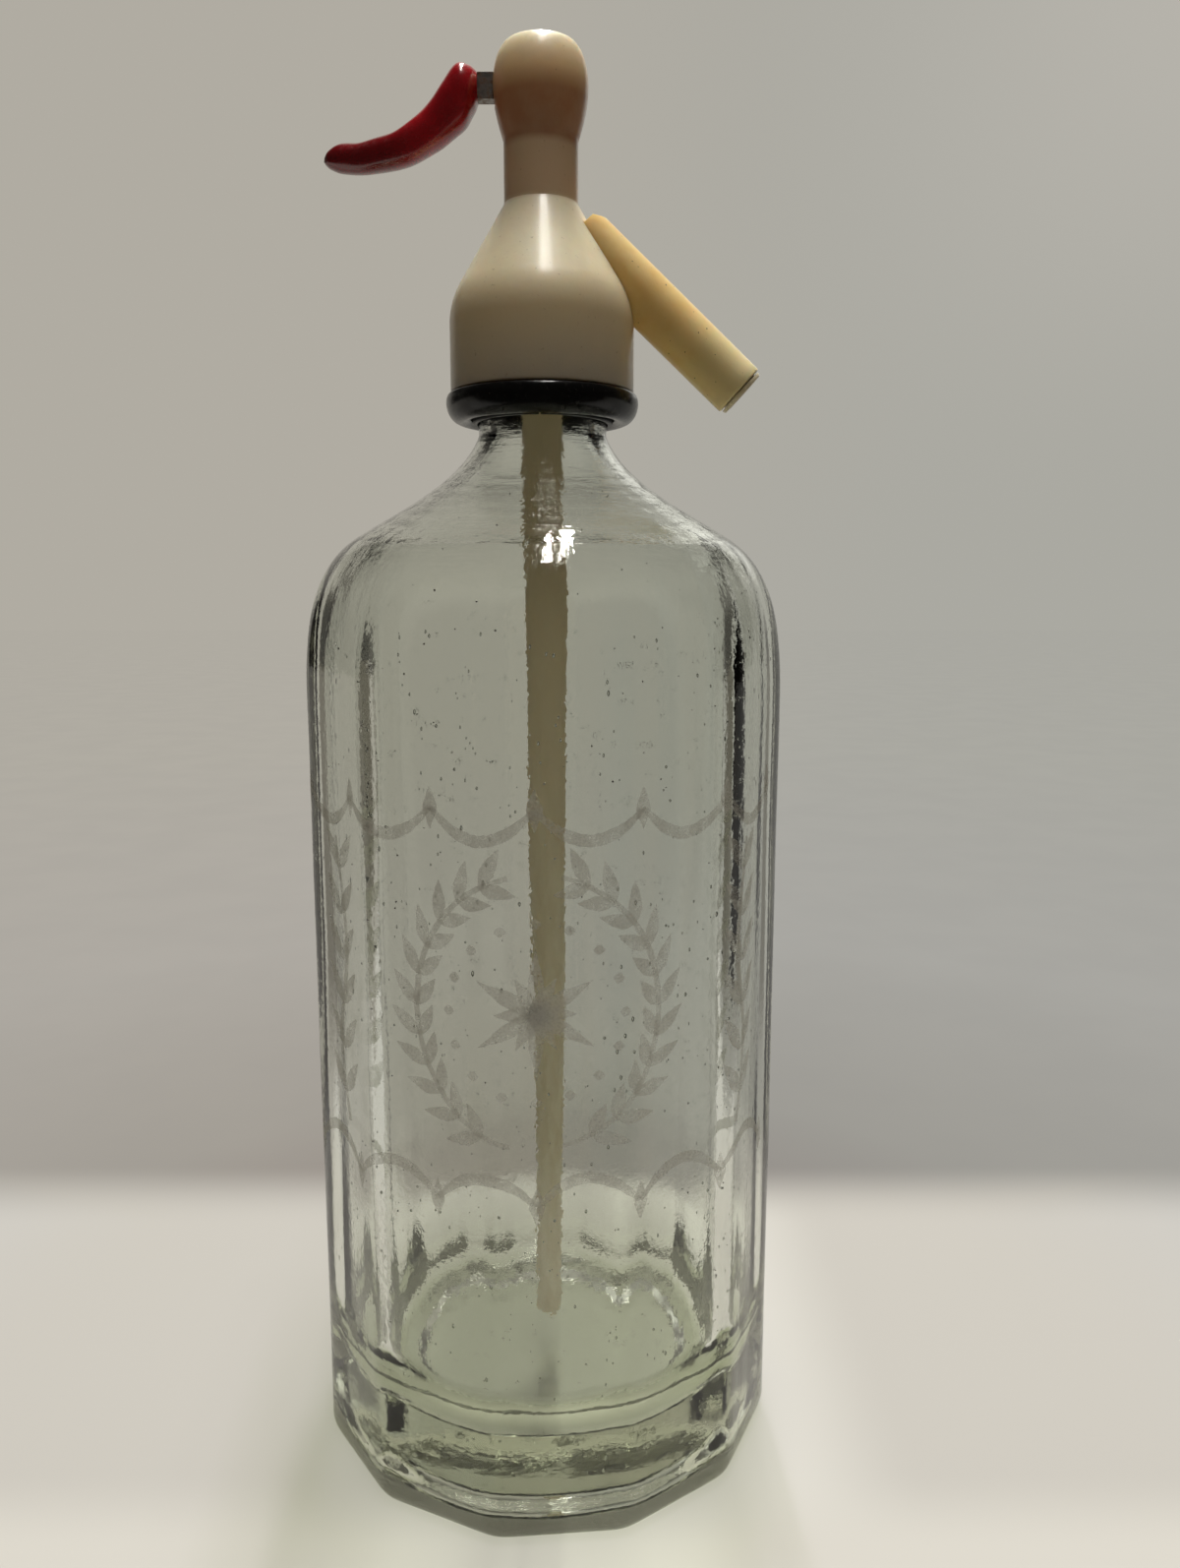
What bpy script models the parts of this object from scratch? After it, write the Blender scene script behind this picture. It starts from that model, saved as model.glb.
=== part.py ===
"""Soda siphon: a twelve-sided glass bottle with a moulded head, a press lever and a slanting spout.

Run with: blender --background --python part.py
Units are metres and +Z is up. The bottle's axis is the Z axis and it stands on z = 0.
The front faces -Y, the lever points to -X and the spout to +X.
"""

import math

import bmesh
import bpy
from mathutils import Matrix, Vector

MM = 0.001

# Fits shared by many pieces
GAP = 0.3 * MM              # clearance between neighbouring pieces
OVERRUN = 2.0 * MM          # how far every cutter runs past what it cuts
MERGE = 0.001 * MM          # points nearer than this are one point
ROUND_SIDES = 32            # flats round the head and the collar
SMALL_SIDES = 24            # flats round the small inner pieces

# Glass bottle, outside
FACETS = 12
SIDES_PER_FACET = 4
FACET_TURN_DEG = -10.0      # azimuth of one corner, measured from the front
BODY_CORNER_R = 52.4 * MM
HEEL_IN = 2.6 * MM          # how far the heel draws in, down to the table
HEEL_H = 5.0 * MM
CONTACT_RING_W = 9.0 * MM
PUSH_UP_SLOPE = 7.0 * MM
PUSH_UP_H = 2.5 * MM
SHOULDER_Z = 170.0 * MM
SHOULDER_H = 32.7 * MM
SHOULDER_END_R = 40.3 * MM
NECK_CURVE_H = 21.8 * MM
NECK_R = 13.7 * MM
NECK_RUN = 10.0 * MM
BEAD_OUT = 1.3 * MM
BEAD_H = 7.5 * MM
LIP_ROUND = 1.2 * MM
FACET_FADE_START = 176.0 * MM
FACET_FADE_H = 28.0 * MM

# Glass bottle, inside
BODY_WALL = 6.3 * MM
BASE_THICK = 15.0 * MM
FLOOR_ROUND = 21.0 * MM
SHOULDER_WALL = 5.0 * MM
NECK_BORE_R = 10.0 * MM

# Collar and split ring that hold the head on the glass bead
LEDGE_W = 1.1 * MM
SLEEVE_WALL = 1.2 * MM
SPLIT_FLANGE_H = 4.6 * MM
COLLAR_BELOW_LEDGE = 3.1 * MM
COLLAR_RIM_H = 6.8 * MM
COLLAR_RIM_OUT = 3.3 * MM
COLLAR_TOP_OUT = 2.0 * MM
COLLAR_HEEL_OUT = 0.9 * MM
COLLAR_HEEL_H = 0.8 * MM
COLLAR_TOP_CLEAR = 1.8 * MM

# Neck gasket
GASKET_H = 2.0 * MM
GASKET_W = 5.3 * MM

# Head, outside
SKIRT_WALL = 1.6 * MM
SKIRT_H = 13.7 * MM
SHOULDER_R = 16.0 * MM
CONE_DEG = 30.6
NECK_TUBE_R = 7.75 * MM
NECK_TUBE_H = 12.3 * MM
BULB_R = 9.87 * MM
BULB_LOW_H = 10.5 * MM
BULB_TOP_H = 7.9 * MM
BULB_RIM_R = 7.4 * MM

# Head, inside
SEAT_BORE_H = 5.9 * MM
CHAMBER_R = 6.6 * MM
CHAMBER_H = 13.5 * MM
GUIDE_H = 2.0 * MM
SEAL_POCKET_R = 4.2 * MM
SPRING_BORE_R = 5.6 * MM
STOP_LEDGE_BELOW = 8.8 * MM
BULB_BORE_R = 6.3 * MM
PLUG_LEDGE_W = 0.5 * MM
PLUG_LEDGE_BELOW = 2.0 * MM

# Spout
SPOUT_DEG = 43.0            # slope below the horizontal
SPOUT_R = 5.85 * MM
SPOUT_BORE_R = 3.9 * MM
SPOUT_CROSS_ABOVE = 2.1 * MM    # where its axis meets the bottle's axis, above the cone's top
SPOUT_ROOT = 11.3 * MM      # from that crossing to the tube's hidden end
SPOUT_TIP = 57.6 * MM       # from that crossing to the tube's open end
SPOUT_TRIM_BELOW = 2.9 * MM
LINER_WALL = 0.6 * MM
LINER_LENGTH = 12.0 * MM
LINER_LIP_OUT = 0.5 * MM
LINER_LIP_H = 0.8 * MM

# Top plug
PLUG_DOME_H = 0.5 * MM
PLUG_EDGE_H = 1.6 * MM
PLUG_SPIGOT_H = 1.2 * MM

# Lever and its pin
PIVOT_X = 6.0 * MM          # distance of the pivot from the bottle's axis, towards the lever
PIN_R = 1.0 * MM
PIN_BLIND = 5.5 * MM        # depth of the pin's hole in front of the axis
PIN_SUNK = 0.4 * MM
LEVER_DEG = 15.0
ARM_H = 5.1 * MM
ARM_T = 3.0 * MM
ARM_HUB_X = 4.2 * MM        # inner end of the full-height strip
ARM_MOUTH_X = 12.9 * MM     # where the strip goes into the grip
TONGUE_H = 2.0 * MM
NOSE_R = 1.5 * MM
CORE_H = 4.0 * MM
CORE_TIP_H = 2.4 * MM

# Grip
GRIP_REACH = 32.3 * MM
GRIP_DROP = 14.2 * MM
GRIP_H = 9.8 * MM
GRIP_W = 10.4 * MM
GRIP_SIDES = 16
GRIP_RIDGE_POWER = 1.25     # 1 is a plain oval, more is a sharper ridge along each side
# Each row: share of the reach, share of the drop, share of the height, slope of the path in degrees
GRIP_SHARES = (
    (0.000, 0.000, 0.56, 0.0),
    (0.035, 0.005, 0.82, 8.0),
    (0.087, 0.045, 1.00, 18.0),
    (0.154, 0.243, 0.945, 30.0),
    (0.228, 0.419, 0.835, 36.0),
    (0.335, 0.627, 0.763, 34.0),
    (0.500, 0.831, 0.708, 25.0),
    (0.722, 0.954, 0.620, 11.0),
    (0.880, 0.965, 0.545, 4.0),
    (0.957, 0.979, 0.357, 4.0),
    (0.988, 0.993, 0.163, 4.0),
)
CORE_LAST_ROW = 8           # row of the table at which the steel strip ends

# Valve rod, with an eye round the lever's nose
ROD_R = 1.5 * MM
EYE_BAR_H = 1.3 * MM
EYE_SIDE_W = 1.2 * MM
EYE_DEPTH = 2.6 * MM
EYE_BASE_H = 3.2 * MM

# Valve seat
SEAT_BARREL_R = 7.5 * MM
SEAT_BORE_R = 2.6 * MM
SEAT_LIP_W = 0.8 * MM
SEAT_LIP_H = 0.8 * MM
SEAT_FLANGE_W = 2.0 * MM
SEAT_FLANGE_H = 1.5 * MM
SEAT_GASKET_H = 0.7 * MM
SPIGOT_R = 7.0 * MM
SPIGOT_H = 6.0 * MM
TUBE_SOCKET_H = 7.5 * MM

# Dip tube, with its seal and ferrule
TUBE_R = 4.35 * MM
TUBE_BORE_R = 2.5 * MM
TUBE_ABOVE_FLOOR = 7.5 * MM
SEAL_WIRE_R = 0.75 * MM
SEAL_SEAT_H = 2.1 * MM
FERRULE_H = 2.4 * MM
FERRULE_NOSE_W = 1.3 * MM
FERRULE_NOSE_H = 0.6 * MM

# Valve washer, holder and screw
WASHER_R = 4.5 * MM
WASHER_H = 2.0 * MM
HOLDER_RIM_W = 0.8 * MM
HOLDER_RIM_H = 1.4 * MM
HOLDER_FLOOR_H = 1.2 * MM
HOLDER_SOCKET_H = 2.0 * MM
HOLDER_BOSS_R = 3.2 * MM
SCREW_R = 1.0 * MM
SCREW_HEAD_R = 2.0 * MM
SCREW_HEAD_H = 1.1 * MM

# Rod seal, gland, spring and its two ends
ROD_SEAL_H = 2.0 * MM
GLAND_FLANGE_H = 1.4 * MM
COLLAR_LIFT_CLEAR = 0.6 * MM
ROD_COLLAR_H = 1.6 * MM
STOP_H = 1.5 * MM
SPRING_WIRE_R = 0.45 * MM
SPRING_R = 4.0 * MM
SPRING_TURNS = 5.0
SPRING_POINTS_PER_TURN = 10
SPRING_SIDE_STEPS = 1

# Heights, worked up from the table
break_z = SHOULDER_Z + SHOULDER_H
neck_z = break_z + NECK_CURVE_H
bead_z = neck_z + NECK_RUN
lip_z = bead_z + BEAD_H
gasket_z = lip_z + GAP
roof_z = gasket_z + GASKET_H + GAP
split_top_z = bead_z - GAP
ledge_z = split_top_z - SPLIT_FLANGE_H - GAP
collar_z = ledge_z - COLLAR_BELOW_LEDGE
rim_z = collar_z + COLLAR_RIM_H
skirt_z = rim_z + GAP

# Radii, worked out from the glass bead
bead_r = NECK_R + BEAD_OUT
collar_bore_r = bead_r + GAP
collar_wide_r = collar_bore_r + LEDGE_W
sleeve_r = collar_wide_r + SLEEVE_WALL
skirt_bore_r = sleeve_r + GAP
skirt_r = skirt_bore_r + SKIRT_WALL

# The head's cone and bulb
cone_angle = math.radians(CONE_DEG)
bell_z = skirt_z + SKIRT_H
cone_z = bell_z + SHOULDER_R * math.sin(cone_angle)
cone_r = skirt_r - SHOULDER_R * (1 - math.cos(cone_angle))
cone_top_z = cone_z + (cone_r - NECK_TUBE_R) / math.tan(cone_angle)
bulb_z = cone_top_z + NECK_TUBE_H
pivot_z = bulb_z + BULB_LOW_H
bulb_top_z = pivot_z + BULB_TOP_H

# The head's inside
seat_bore_r = SEAT_BARREL_R + GAP
seat_ledge_z = roof_z + SEAT_BORE_H
chamber_top_z = seat_ledge_z + CHAMBER_H
guide_r = ROD_R + GAP
pocket_z = chamber_top_z + GUIDE_H
stop_ledge_z = pivot_z - STOP_LEDGE_BELOW
plug_ledge_z = bulb_top_z - PLUG_LEDGE_BELOW
plug_bore_r = BULB_BORE_R + PLUG_LEDGE_W

# The valve, seated on its lip
seat_lip_z = seat_ledge_z - GAP + SEAT_LIP_H
washer_z = seat_lip_z + GAP
holder_z = washer_z + WASHER_H + GAP
rod_z = holder_z + HOLDER_FLOOR_H + GAP

# How far the lever's nose lifts the rod
lever_angle = math.radians(LEVER_DEG)
lift = PIVOT_X * lever_angle


def clear_scene():
    """Start from nothing."""
    for item in list(bpy.data.objects):
        bpy.data.objects.remove(item, do_unlink=True)


def material(name, colour, roughness, metallic=0.0, transmission=0.0):
    """A plain finish in the piece's colour."""
    made = bpy.data.materials.new(name)
    made.use_nodes = True
    shader = made.node_tree.nodes["Principled BSDF"]
    shader.inputs["Base Color"].default_value = (*colour, 1.0)
    shader.inputs["Roughness"].default_value = roughness
    shader.inputs["Metallic"].default_value = metallic
    shader.inputs["Transmission Weight"].default_value = transmission
    made.diffuse_color = (*colour, 1.0)
    return made


def finish(name, mesh_data, finish_material, sharp_deg=40.0):
    """Turn a bmesh into a named object with rounded shading."""
    bmesh.ops.recalc_face_normals(mesh_data, faces=mesh_data.faces)
    mesh = bpy.data.meshes.new(name)
    mesh_data.to_mesh(mesh)
    mesh_data.free()
    mesh.shade_smooth()
    mesh.set_sharp_from_angle(angle=math.radians(sharp_deg))
    piece = bpy.data.objects.new(name, mesh)
    bpy.context.collection.objects.link(piece)
    if finish_material is not None:
        mesh.materials.append(finish_material)
    return piece


def bezier(start, start_handle, end_handle, end, steps):
    """Points along one smooth stretch of an outline, both ends included."""
    points = []
    for step in range(steps + 1):
        t = step / steps
        u = 1 - t
        points.append(tuple(
            u ** 3 * a + 3 * u * u * t * b + 3 * u * t * t * c + t ** 3 * d
            for a, b, c, d in zip(start, start_handle, end_handle, end)
        ))
    return points


def arc(centre_r, centre_z, radius, start_deg, end_deg, steps):
    """Points along a round stretch of an outline, both ends included."""
    points = []
    for step in range(steps + 1):
        angle = math.radians(start_deg + (end_deg - start_deg) * step / steps)
        points.append((centre_r + radius * math.cos(angle), centre_z + radius * math.sin(angle)))
    return points


def turned(name, outline, finish_material, sides=SMALL_SIDES, closed=True, sweep=math.tau):
    """Spin an outline of (radius, height) points about the Z axis."""
    mesh_data = bmesh.new()
    points = [mesh_data.verts.new((radius, 0, height)) for radius, height in outline]
    if sweep < math.tau:
        geometry = [mesh_data.faces.new(points)]
    else:
        geometry = [mesh_data.edges.new(pair) for pair in zip(points, points[1:])]
        if closed:
            geometry.append(mesh_data.edges.new((points[-1], points[0])))
        geometry += points
    bmesh.ops.spin(
        mesh_data, geom=geometry, cent=(0, 0, 0), axis=(0, 0, 1), angle=sweep,
        steps=sides, use_merge=sweep == math.tau,
    )
    bmesh.ops.remove_doubles(mesh_data, verts=mesh_data.verts, dist=MERGE)
    return finish(name, mesh_data, finish_material)


def skin(name, rings, finish_material, sharp_deg=40.0):
    """Bridge rings of points in order; a ring of one point closes an end."""
    mesh_data = bmesh.new()
    made = [[mesh_data.verts.new(point) for point in ring] for ring in rings]
    for low, high in zip(made, made[1:]):
        count = max(len(low), len(high))
        for index in range(count):
            after = (index + 1) % count
            corners = []
            for vert in (
                low[index % len(low)], low[after % len(low)],
                high[after % len(high)], high[index % len(high)],
            ):
                if vert not in corners:
                    corners.append(vert)
            mesh_data.faces.new(corners)
    return finish(name, mesh_data, finish_material, sharp_deg)


def cut(piece, cutter):
    """Take a guide solid away from a piece."""
    cutter.hide_render = True
    cutter.display_type = "WIRE"
    modifier = piece.modifiers.new("cut_" + cutter.name, "BOOLEAN")
    modifier.operation = "DIFFERENCE"
    modifier.solver = "EXACT"
    modifier.object = cutter


def box(name, low, high):
    """A plain guide box between two corners."""
    mesh_data = bmesh.new()
    bmesh.ops.create_cube(mesh_data, size=1)
    low, high = Vector(low), Vector(high)
    span = high - low
    bmesh.ops.scale(mesh_data, vec=span, verts=mesh_data.verts)
    bmesh.ops.translate(mesh_data, vec=(low + high) / 2, verts=mesh_data.verts)
    return finish(name, mesh_data, None)


def round_bar(name, radius, low, high, finish_material=None, sides=SMALL_SIDES):
    """A solid round bar along local Z."""
    return turned(name, [(0, low), (radius, low), (radius, high), (0, high)], finish_material, sides, False)


# Glass bottle

def bottle_outer():
    """Outside of the glass from the table to the lip: (corner radius, height)."""
    heel_r = BODY_CORNER_R - HEEL_IN
    heel = bezier(
        (heel_r - HEEL_IN, 0), (heel_r, 0), (BODY_CORNER_R, HEEL_H / 4), (BODY_CORNER_R, HEEL_H), 4,
    )
    handle = SHOULDER_H / 2
    lean = 0.57 * (BODY_CORNER_R - SHOULDER_END_R)
    shoulder = bezier(
        (BODY_CORNER_R, SHOULDER_Z), (BODY_CORNER_R, SHOULDER_Z + handle),
        (SHOULDER_END_R + 1.3 * lean, break_z - 0.18 * SHOULDER_H), (SHOULDER_END_R, break_z), 9,
    )
    run = SHOULDER_END_R - NECK_R
    neck = bezier(
        (SHOULDER_END_R, break_z), (SHOULDER_END_R - 0.30 * run, break_z + 0.26 * NECK_CURVE_H),
        (NECK_R + 0.14 * run, neck_z - 0.46 * NECK_CURVE_H), (NECK_R, neck_z), 8,
    )
    bead = [(NECK_R, bead_z), (bead_r, bead_z), (bead_r, lip_z - LIP_ROUND), (bead_r - LIP_ROUND, lip_z)]
    return heel + shoulder + neck[1:] + bead


def bottle_inner():
    """Inside of the glass from the lip down to the floor's middle."""
    wall_r = BODY_CORNER_R - BODY_WALL
    wall_top = SHOULDER_Z
    slope_r = SHOULDER_END_R - SHOULDER_WALL * math.sin(cone_angle)
    slope_z = break_z - SHOULDER_WALL * math.cos(cone_angle)
    run = slope_r - NECK_BORE_R
    neck = bezier(
        (NECK_BORE_R, neck_z), (NECK_BORE_R, neck_z - 0.46 * NECK_CURVE_H),
        (slope_r - 0.45 * run, slope_z + 0.36 * NECK_CURVE_H), (slope_r, slope_z), 6,
    )
    lean = wall_r - slope_r
    shoulder = bezier(
        (slope_r, slope_z), (slope_r + 0.75 * lean, slope_z - 0.18 * SHOULDER_H),
        (wall_r, wall_top + SHOULDER_H / 2.2), (wall_r, wall_top), 6,
    )
    floor = arc(wall_r - FLOOR_ROUND, BASE_THICK + FLOOR_ROUND, FLOOR_ROUND, 0, -90, 9)
    lip = [(NECK_BORE_R + LIP_ROUND / 2, lip_z), (NECK_BORE_R, lip_z - LIP_ROUND / 2)]
    return lip + neck + shoulder[1:] + floor


def facet_ring(radius, height, facet_share):
    """One ring of the glass, flat-sided where facet_share is 1 and round where it is 0."""
    count = FACETS * SIDES_PER_FACET
    half_facet = math.pi / FACETS
    points = []
    for index in range(count):
        within = (index % SIDES_PER_FACET) / SIDES_PER_FACET * 2 * half_facet - half_facet
        flat = math.cos(half_facet) / math.cos(within)
        reach = radius * (1 - facet_share + facet_share * flat)
        angle = math.radians(FACET_TURN_DEG) + math.tau * index / count
        points.append((reach * math.sin(angle), -reach * math.cos(angle), height))
    return points


def facet_share(height):
    """How flat the sides are at a height: they fade out over the shoulder."""
    share = 1 - (height - FACET_FADE_START) / FACET_FADE_H
    share = min(1.0, max(0.0, share))
    return share * share * (3 - 2 * share)


def make_glass_bottle():
    """The bottle: facets outside, round inside, with a bead at the top of its neck."""
    glass = material("pale_green_glass", (0.62, 0.72, 0.66), 0.03, transmission=1.0)
    outer = bottle_outer()
    contact_r = outer[0][0] - CONTACT_RING_W
    rings = [
        [(0, 0, PUSH_UP_H)],
        facet_ring(contact_r - PUSH_UP_SLOPE, PUSH_UP_H, 0),
        facet_ring(contact_r, 0, 0),
    ]
    rings += [facet_ring(radius, height, facet_share(height)) for radius, height in outer]
    rings += [facet_ring(radius, height, 0) for radius, height in bottle_inner()]
    rings.append([(0, 0, BASE_THICK)])
    return skin("glass_bottle", rings, glass, 12.0)


# Collar, split ring and gasket

def make_neck_collar():
    """The black ring: a rounded rim that shows, and a sleeve hidden in the head's skirt."""
    black = material("black_collar", (0.012, 0.012, 0.013), 0.18)
    heel_r = collar_bore_r + COLLAR_HEEL_OUT
    rim_r = sleeve_r + COLLAR_RIM_OUT
    top_r = sleeve_r + COLLAR_TOP_OUT
    rim = bezier(
        (heel_r, collar_z), (rim_r, collar_z + COLLAR_HEEL_H), (rim_r + GAP, rim_z), (top_r, rim_z), 8,
    )
    collar_top_z = roof_z - COLLAR_TOP_CLEAR
    outline = [(collar_bore_r, collar_z)] + rim + [
        (sleeve_r, rim_z), (sleeve_r, collar_top_z), (collar_wide_r, collar_top_z),
        (collar_wide_r, ledge_z), (collar_bore_r, ledge_z),
    ]
    return turned("neck_collar", outline, black, ROUND_SIDES)


def make_split_rings():
    """Two halves under the glass bead, which rest on the collar's ledge."""
    black = material("black_split_ring", (0.015, 0.015, 0.016), 0.3)
    inner_r = NECK_R + GAP
    flange_r = collar_wide_r - GAP
    foot_z = ledge_z + GAP
    outline = [
        (inner_r, collar_z - GAP), (bead_r, collar_z - GAP), (bead_r, foot_z),
        (flange_r, foot_z), (flange_r, split_top_z), (inner_r, split_top_z),
    ]
    half_gap = math.asin(GAP / 2 / inner_r)
    pieces = []
    for name, start in (("split_ring_left", math.pi / 2), ("split_ring_right", -math.pi / 2)):
        piece = turned(name, outline, black, ROUND_SIDES // 2, sweep=math.pi - 2 * half_gap)
        piece.data.transform(Matrix.Rotation(start + half_gap, 4, "Z"))
        pieces.append(piece)
    return pieces


def make_neck_gasket():
    """The rubber ring squeezed between the glass lip and the head."""
    rubber = material("grey_rubber", (0.05, 0.05, 0.05), 0.6)
    outer_r = collar_wide_r - GAP - LIP_ROUND / 2
    outline = [
        (outer_r - GASKET_W, gasket_z), (outer_r, gasket_z),
        (outer_r, gasket_z + GASKET_H), (outer_r - GASKET_W, gasket_z + GASKET_H),
    ]
    return turned("neck_gasket", outline, rubber, ROUND_SIDES)


# Head

def bell_outline():
    """Outside of the head from the skirt's foot to the cone's top."""
    shoulder = arc(skirt_r - SHOULDER_R, bell_z, SHOULDER_R, 0, CONE_DEG, 5)
    return [(skirt_r, skirt_z)] + shoulder + [(NECK_TUBE_R, cone_top_z)]


def bulb_outline():
    """Outside of the head from the neck tube's top to the bulb's rim."""
    swell = BULB_R - NECK_TUBE_R
    low = bezier(
        (NECK_TUBE_R, bulb_z), (NECK_TUBE_R + 0.54 * swell, bulb_z + 0.35 * BULB_LOW_H),
        (BULB_R, pivot_z - BULB_LOW_H / 3), (BULB_R, pivot_z), 6,
    )
    draw_in = BULB_R - BULB_RIM_R
    high = bezier(
        (BULB_R, pivot_z), (BULB_R, pivot_z + 0.41 * BULB_TOP_H),
        (BULB_R - 0.35 * draw_in, bulb_top_z - 0.16 * BULB_TOP_H), (BULB_RIM_R, bulb_top_z), 5,
    )
    return low + high[1:]


def spout_frame():
    """Place with local Z along the spout's axis, away from where it meets the bottle's axis."""
    slope = math.radians(SPOUT_DEG)
    turn = Matrix.Rotation(math.pi / 2 + slope, 4, "Y")
    return Matrix.Translation((0, 0, cone_top_z + SPOUT_CROSS_ABOVE)) @ turn


def lever_slot():
    """The slot in the bulb that lets the strip swing down."""
    half_w = ARM_T / 2 + GAP
    sweep = (BULB_R - PIVOT_X) * math.tan(lever_angle) + ARM_H / 2 / math.cos(lever_angle)
    return box(
        "lever_slot_guide", (-BULB_R - OVERRUN, -half_w, pivot_z - sweep - GAP),
        (-PIVOT_X + PIN_R, half_w, pivot_z + ARM_H / 2 + GAP),
    )


def pin_hole():
    """A blind hole for the pin, drilled from the back."""
    hole = round_bar("pin_hole_guide", PIN_R + GAP, -PIN_BLIND, BULB_R + OVERRUN)
    hole.rotation_euler = (-math.pi / 2, 0, 0)
    hole.location = (-PIVOT_X, 0, pivot_z)
    return hole


def make_head_body():
    """Bell, neck and bulb in one moulding, bored from both ends."""
    cream = material("cream_head", (0.62, 0.55, 0.40), 0.3)
    outline = bell_outline() + bulb_outline() + [
        (plug_bore_r, bulb_top_z), (plug_bore_r, plug_ledge_z), (BULB_BORE_R, plug_ledge_z),
        (BULB_BORE_R, stop_ledge_z), (SPRING_BORE_R, stop_ledge_z), (SPRING_BORE_R, cone_top_z),
        (SEAL_POCKET_R, cone_top_z), (SEAL_POCKET_R, pocket_z), (guide_r, pocket_z),
        (guide_r, chamber_top_z), (CHAMBER_R, chamber_top_z), (CHAMBER_R, seat_ledge_z),
        (seat_bore_r, seat_ledge_z), (seat_bore_r, roof_z), (skirt_bore_r, roof_z), (skirt_bore_r, skirt_z),
    ]
    head = turned("head_body", outline, cream, ROUND_SIDES)
    socket = round_bar("spout_socket_guide", SPOUT_R + GAP, SPOUT_ROOT - GAP, SPOUT_TIP)
    socket.matrix_world = spout_frame()
    cut(head, socket)
    cut(head, lever_slot())
    cut(head, pin_hole())
    return head


def make_spout():
    """The slanting tube, coped to the valve chamber, and the thin liner in its end."""
    amber = material("amber_spout", (0.66, 0.52, 0.30), 0.35)
    grey = material("grey_liner", (0.55, 0.57, 0.57), 0.25, transmission=0.6)
    recess_r = SPOUT_BORE_R + LINER_WALL + GAP
    recess = SPOUT_TIP - LINER_LENGTH - GAP
    tube_outline = [
        (SPOUT_BORE_R, SPOUT_ROOT), (SPOUT_R, SPOUT_ROOT), (SPOUT_R, SPOUT_TIP),
        (recess_r, SPOUT_TIP), (recess_r, recess), (SPOUT_BORE_R, recess),
    ]
    tube = turned("spout_tube", tube_outline, amber)
    tube.matrix_world = spout_frame()
    chamber_wall_r = CHAMBER_R + GAP
    cut(tube, round_bar("chamber_guide", chamber_wall_r, seat_ledge_z, chamber_top_z + GAP, sides=ROUND_SIDES))
    trim_z = cone_top_z - SPOUT_TRIM_BELOW
    cut(tube, box("spout_trim_guide", (0, -SPOUT_TIP, trim_z), (SPOUT_TIP, SPOUT_TIP, pivot_z)))

    lip_r = SPOUT_R - LINER_LIP_OUT
    liner_outline = [
        (SPOUT_BORE_R, SPOUT_TIP - LINER_LENGTH), (recess_r - GAP, SPOUT_TIP - LINER_LENGTH),
        (recess_r - GAP, SPOUT_TIP + GAP), (lip_r, SPOUT_TIP + GAP),
        (lip_r, SPOUT_TIP + GAP + LINER_LIP_H), (SPOUT_BORE_R, SPOUT_TIP + GAP + LINER_LIP_H),
    ]
    liner = turned("spout_liner", liner_outline, grey)
    liner.matrix_world = spout_frame()
    return tube, liner


def make_top_plug():
    """The low domed plug that closes the bulb."""
    cream = material("cream_plug", (0.64, 0.57, 0.42), 0.3)
    plug_r = plug_bore_r - GAP
    spigot_r = BULB_BORE_R - GAP
    seat_z = plug_ledge_z + GAP
    edge_z = seat_z + PLUG_EDGE_H
    dome = bezier(
        (plug_r, edge_z), (plug_r, edge_z + PLUG_DOME_H / 2),
        (plug_r / 2, edge_z + PLUG_DOME_H), (0, edge_z + PLUG_DOME_H), 5,
    )
    outline = [
        (0, seat_z - PLUG_SPIGOT_H), (spigot_r, seat_z - PLUG_SPIGOT_H), (spigot_r, seat_z), (plug_r, seat_z),
    ]
    return turned("top_plug", outline + dome, cream, closed=False)


# Lever

def grip_stations():
    """The grip's path: (centre x, centre z, half height, slope), from the mouth to the tip."""
    return [
        (
            -ARM_MOUTH_X - reach * GRIP_REACH, pivot_z - drop * GRIP_DROP,
            height * GRIP_H / 2, math.radians(slope),
        )
        for reach, drop, height, slope in GRIP_SHARES
    ]


def core_half(row):
    """Half the height of the steel strip at a row of the grip's table."""
    return (CORE_H + (CORE_TIP_H - CORE_H) * row / CORE_LAST_ROW) / 2


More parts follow.
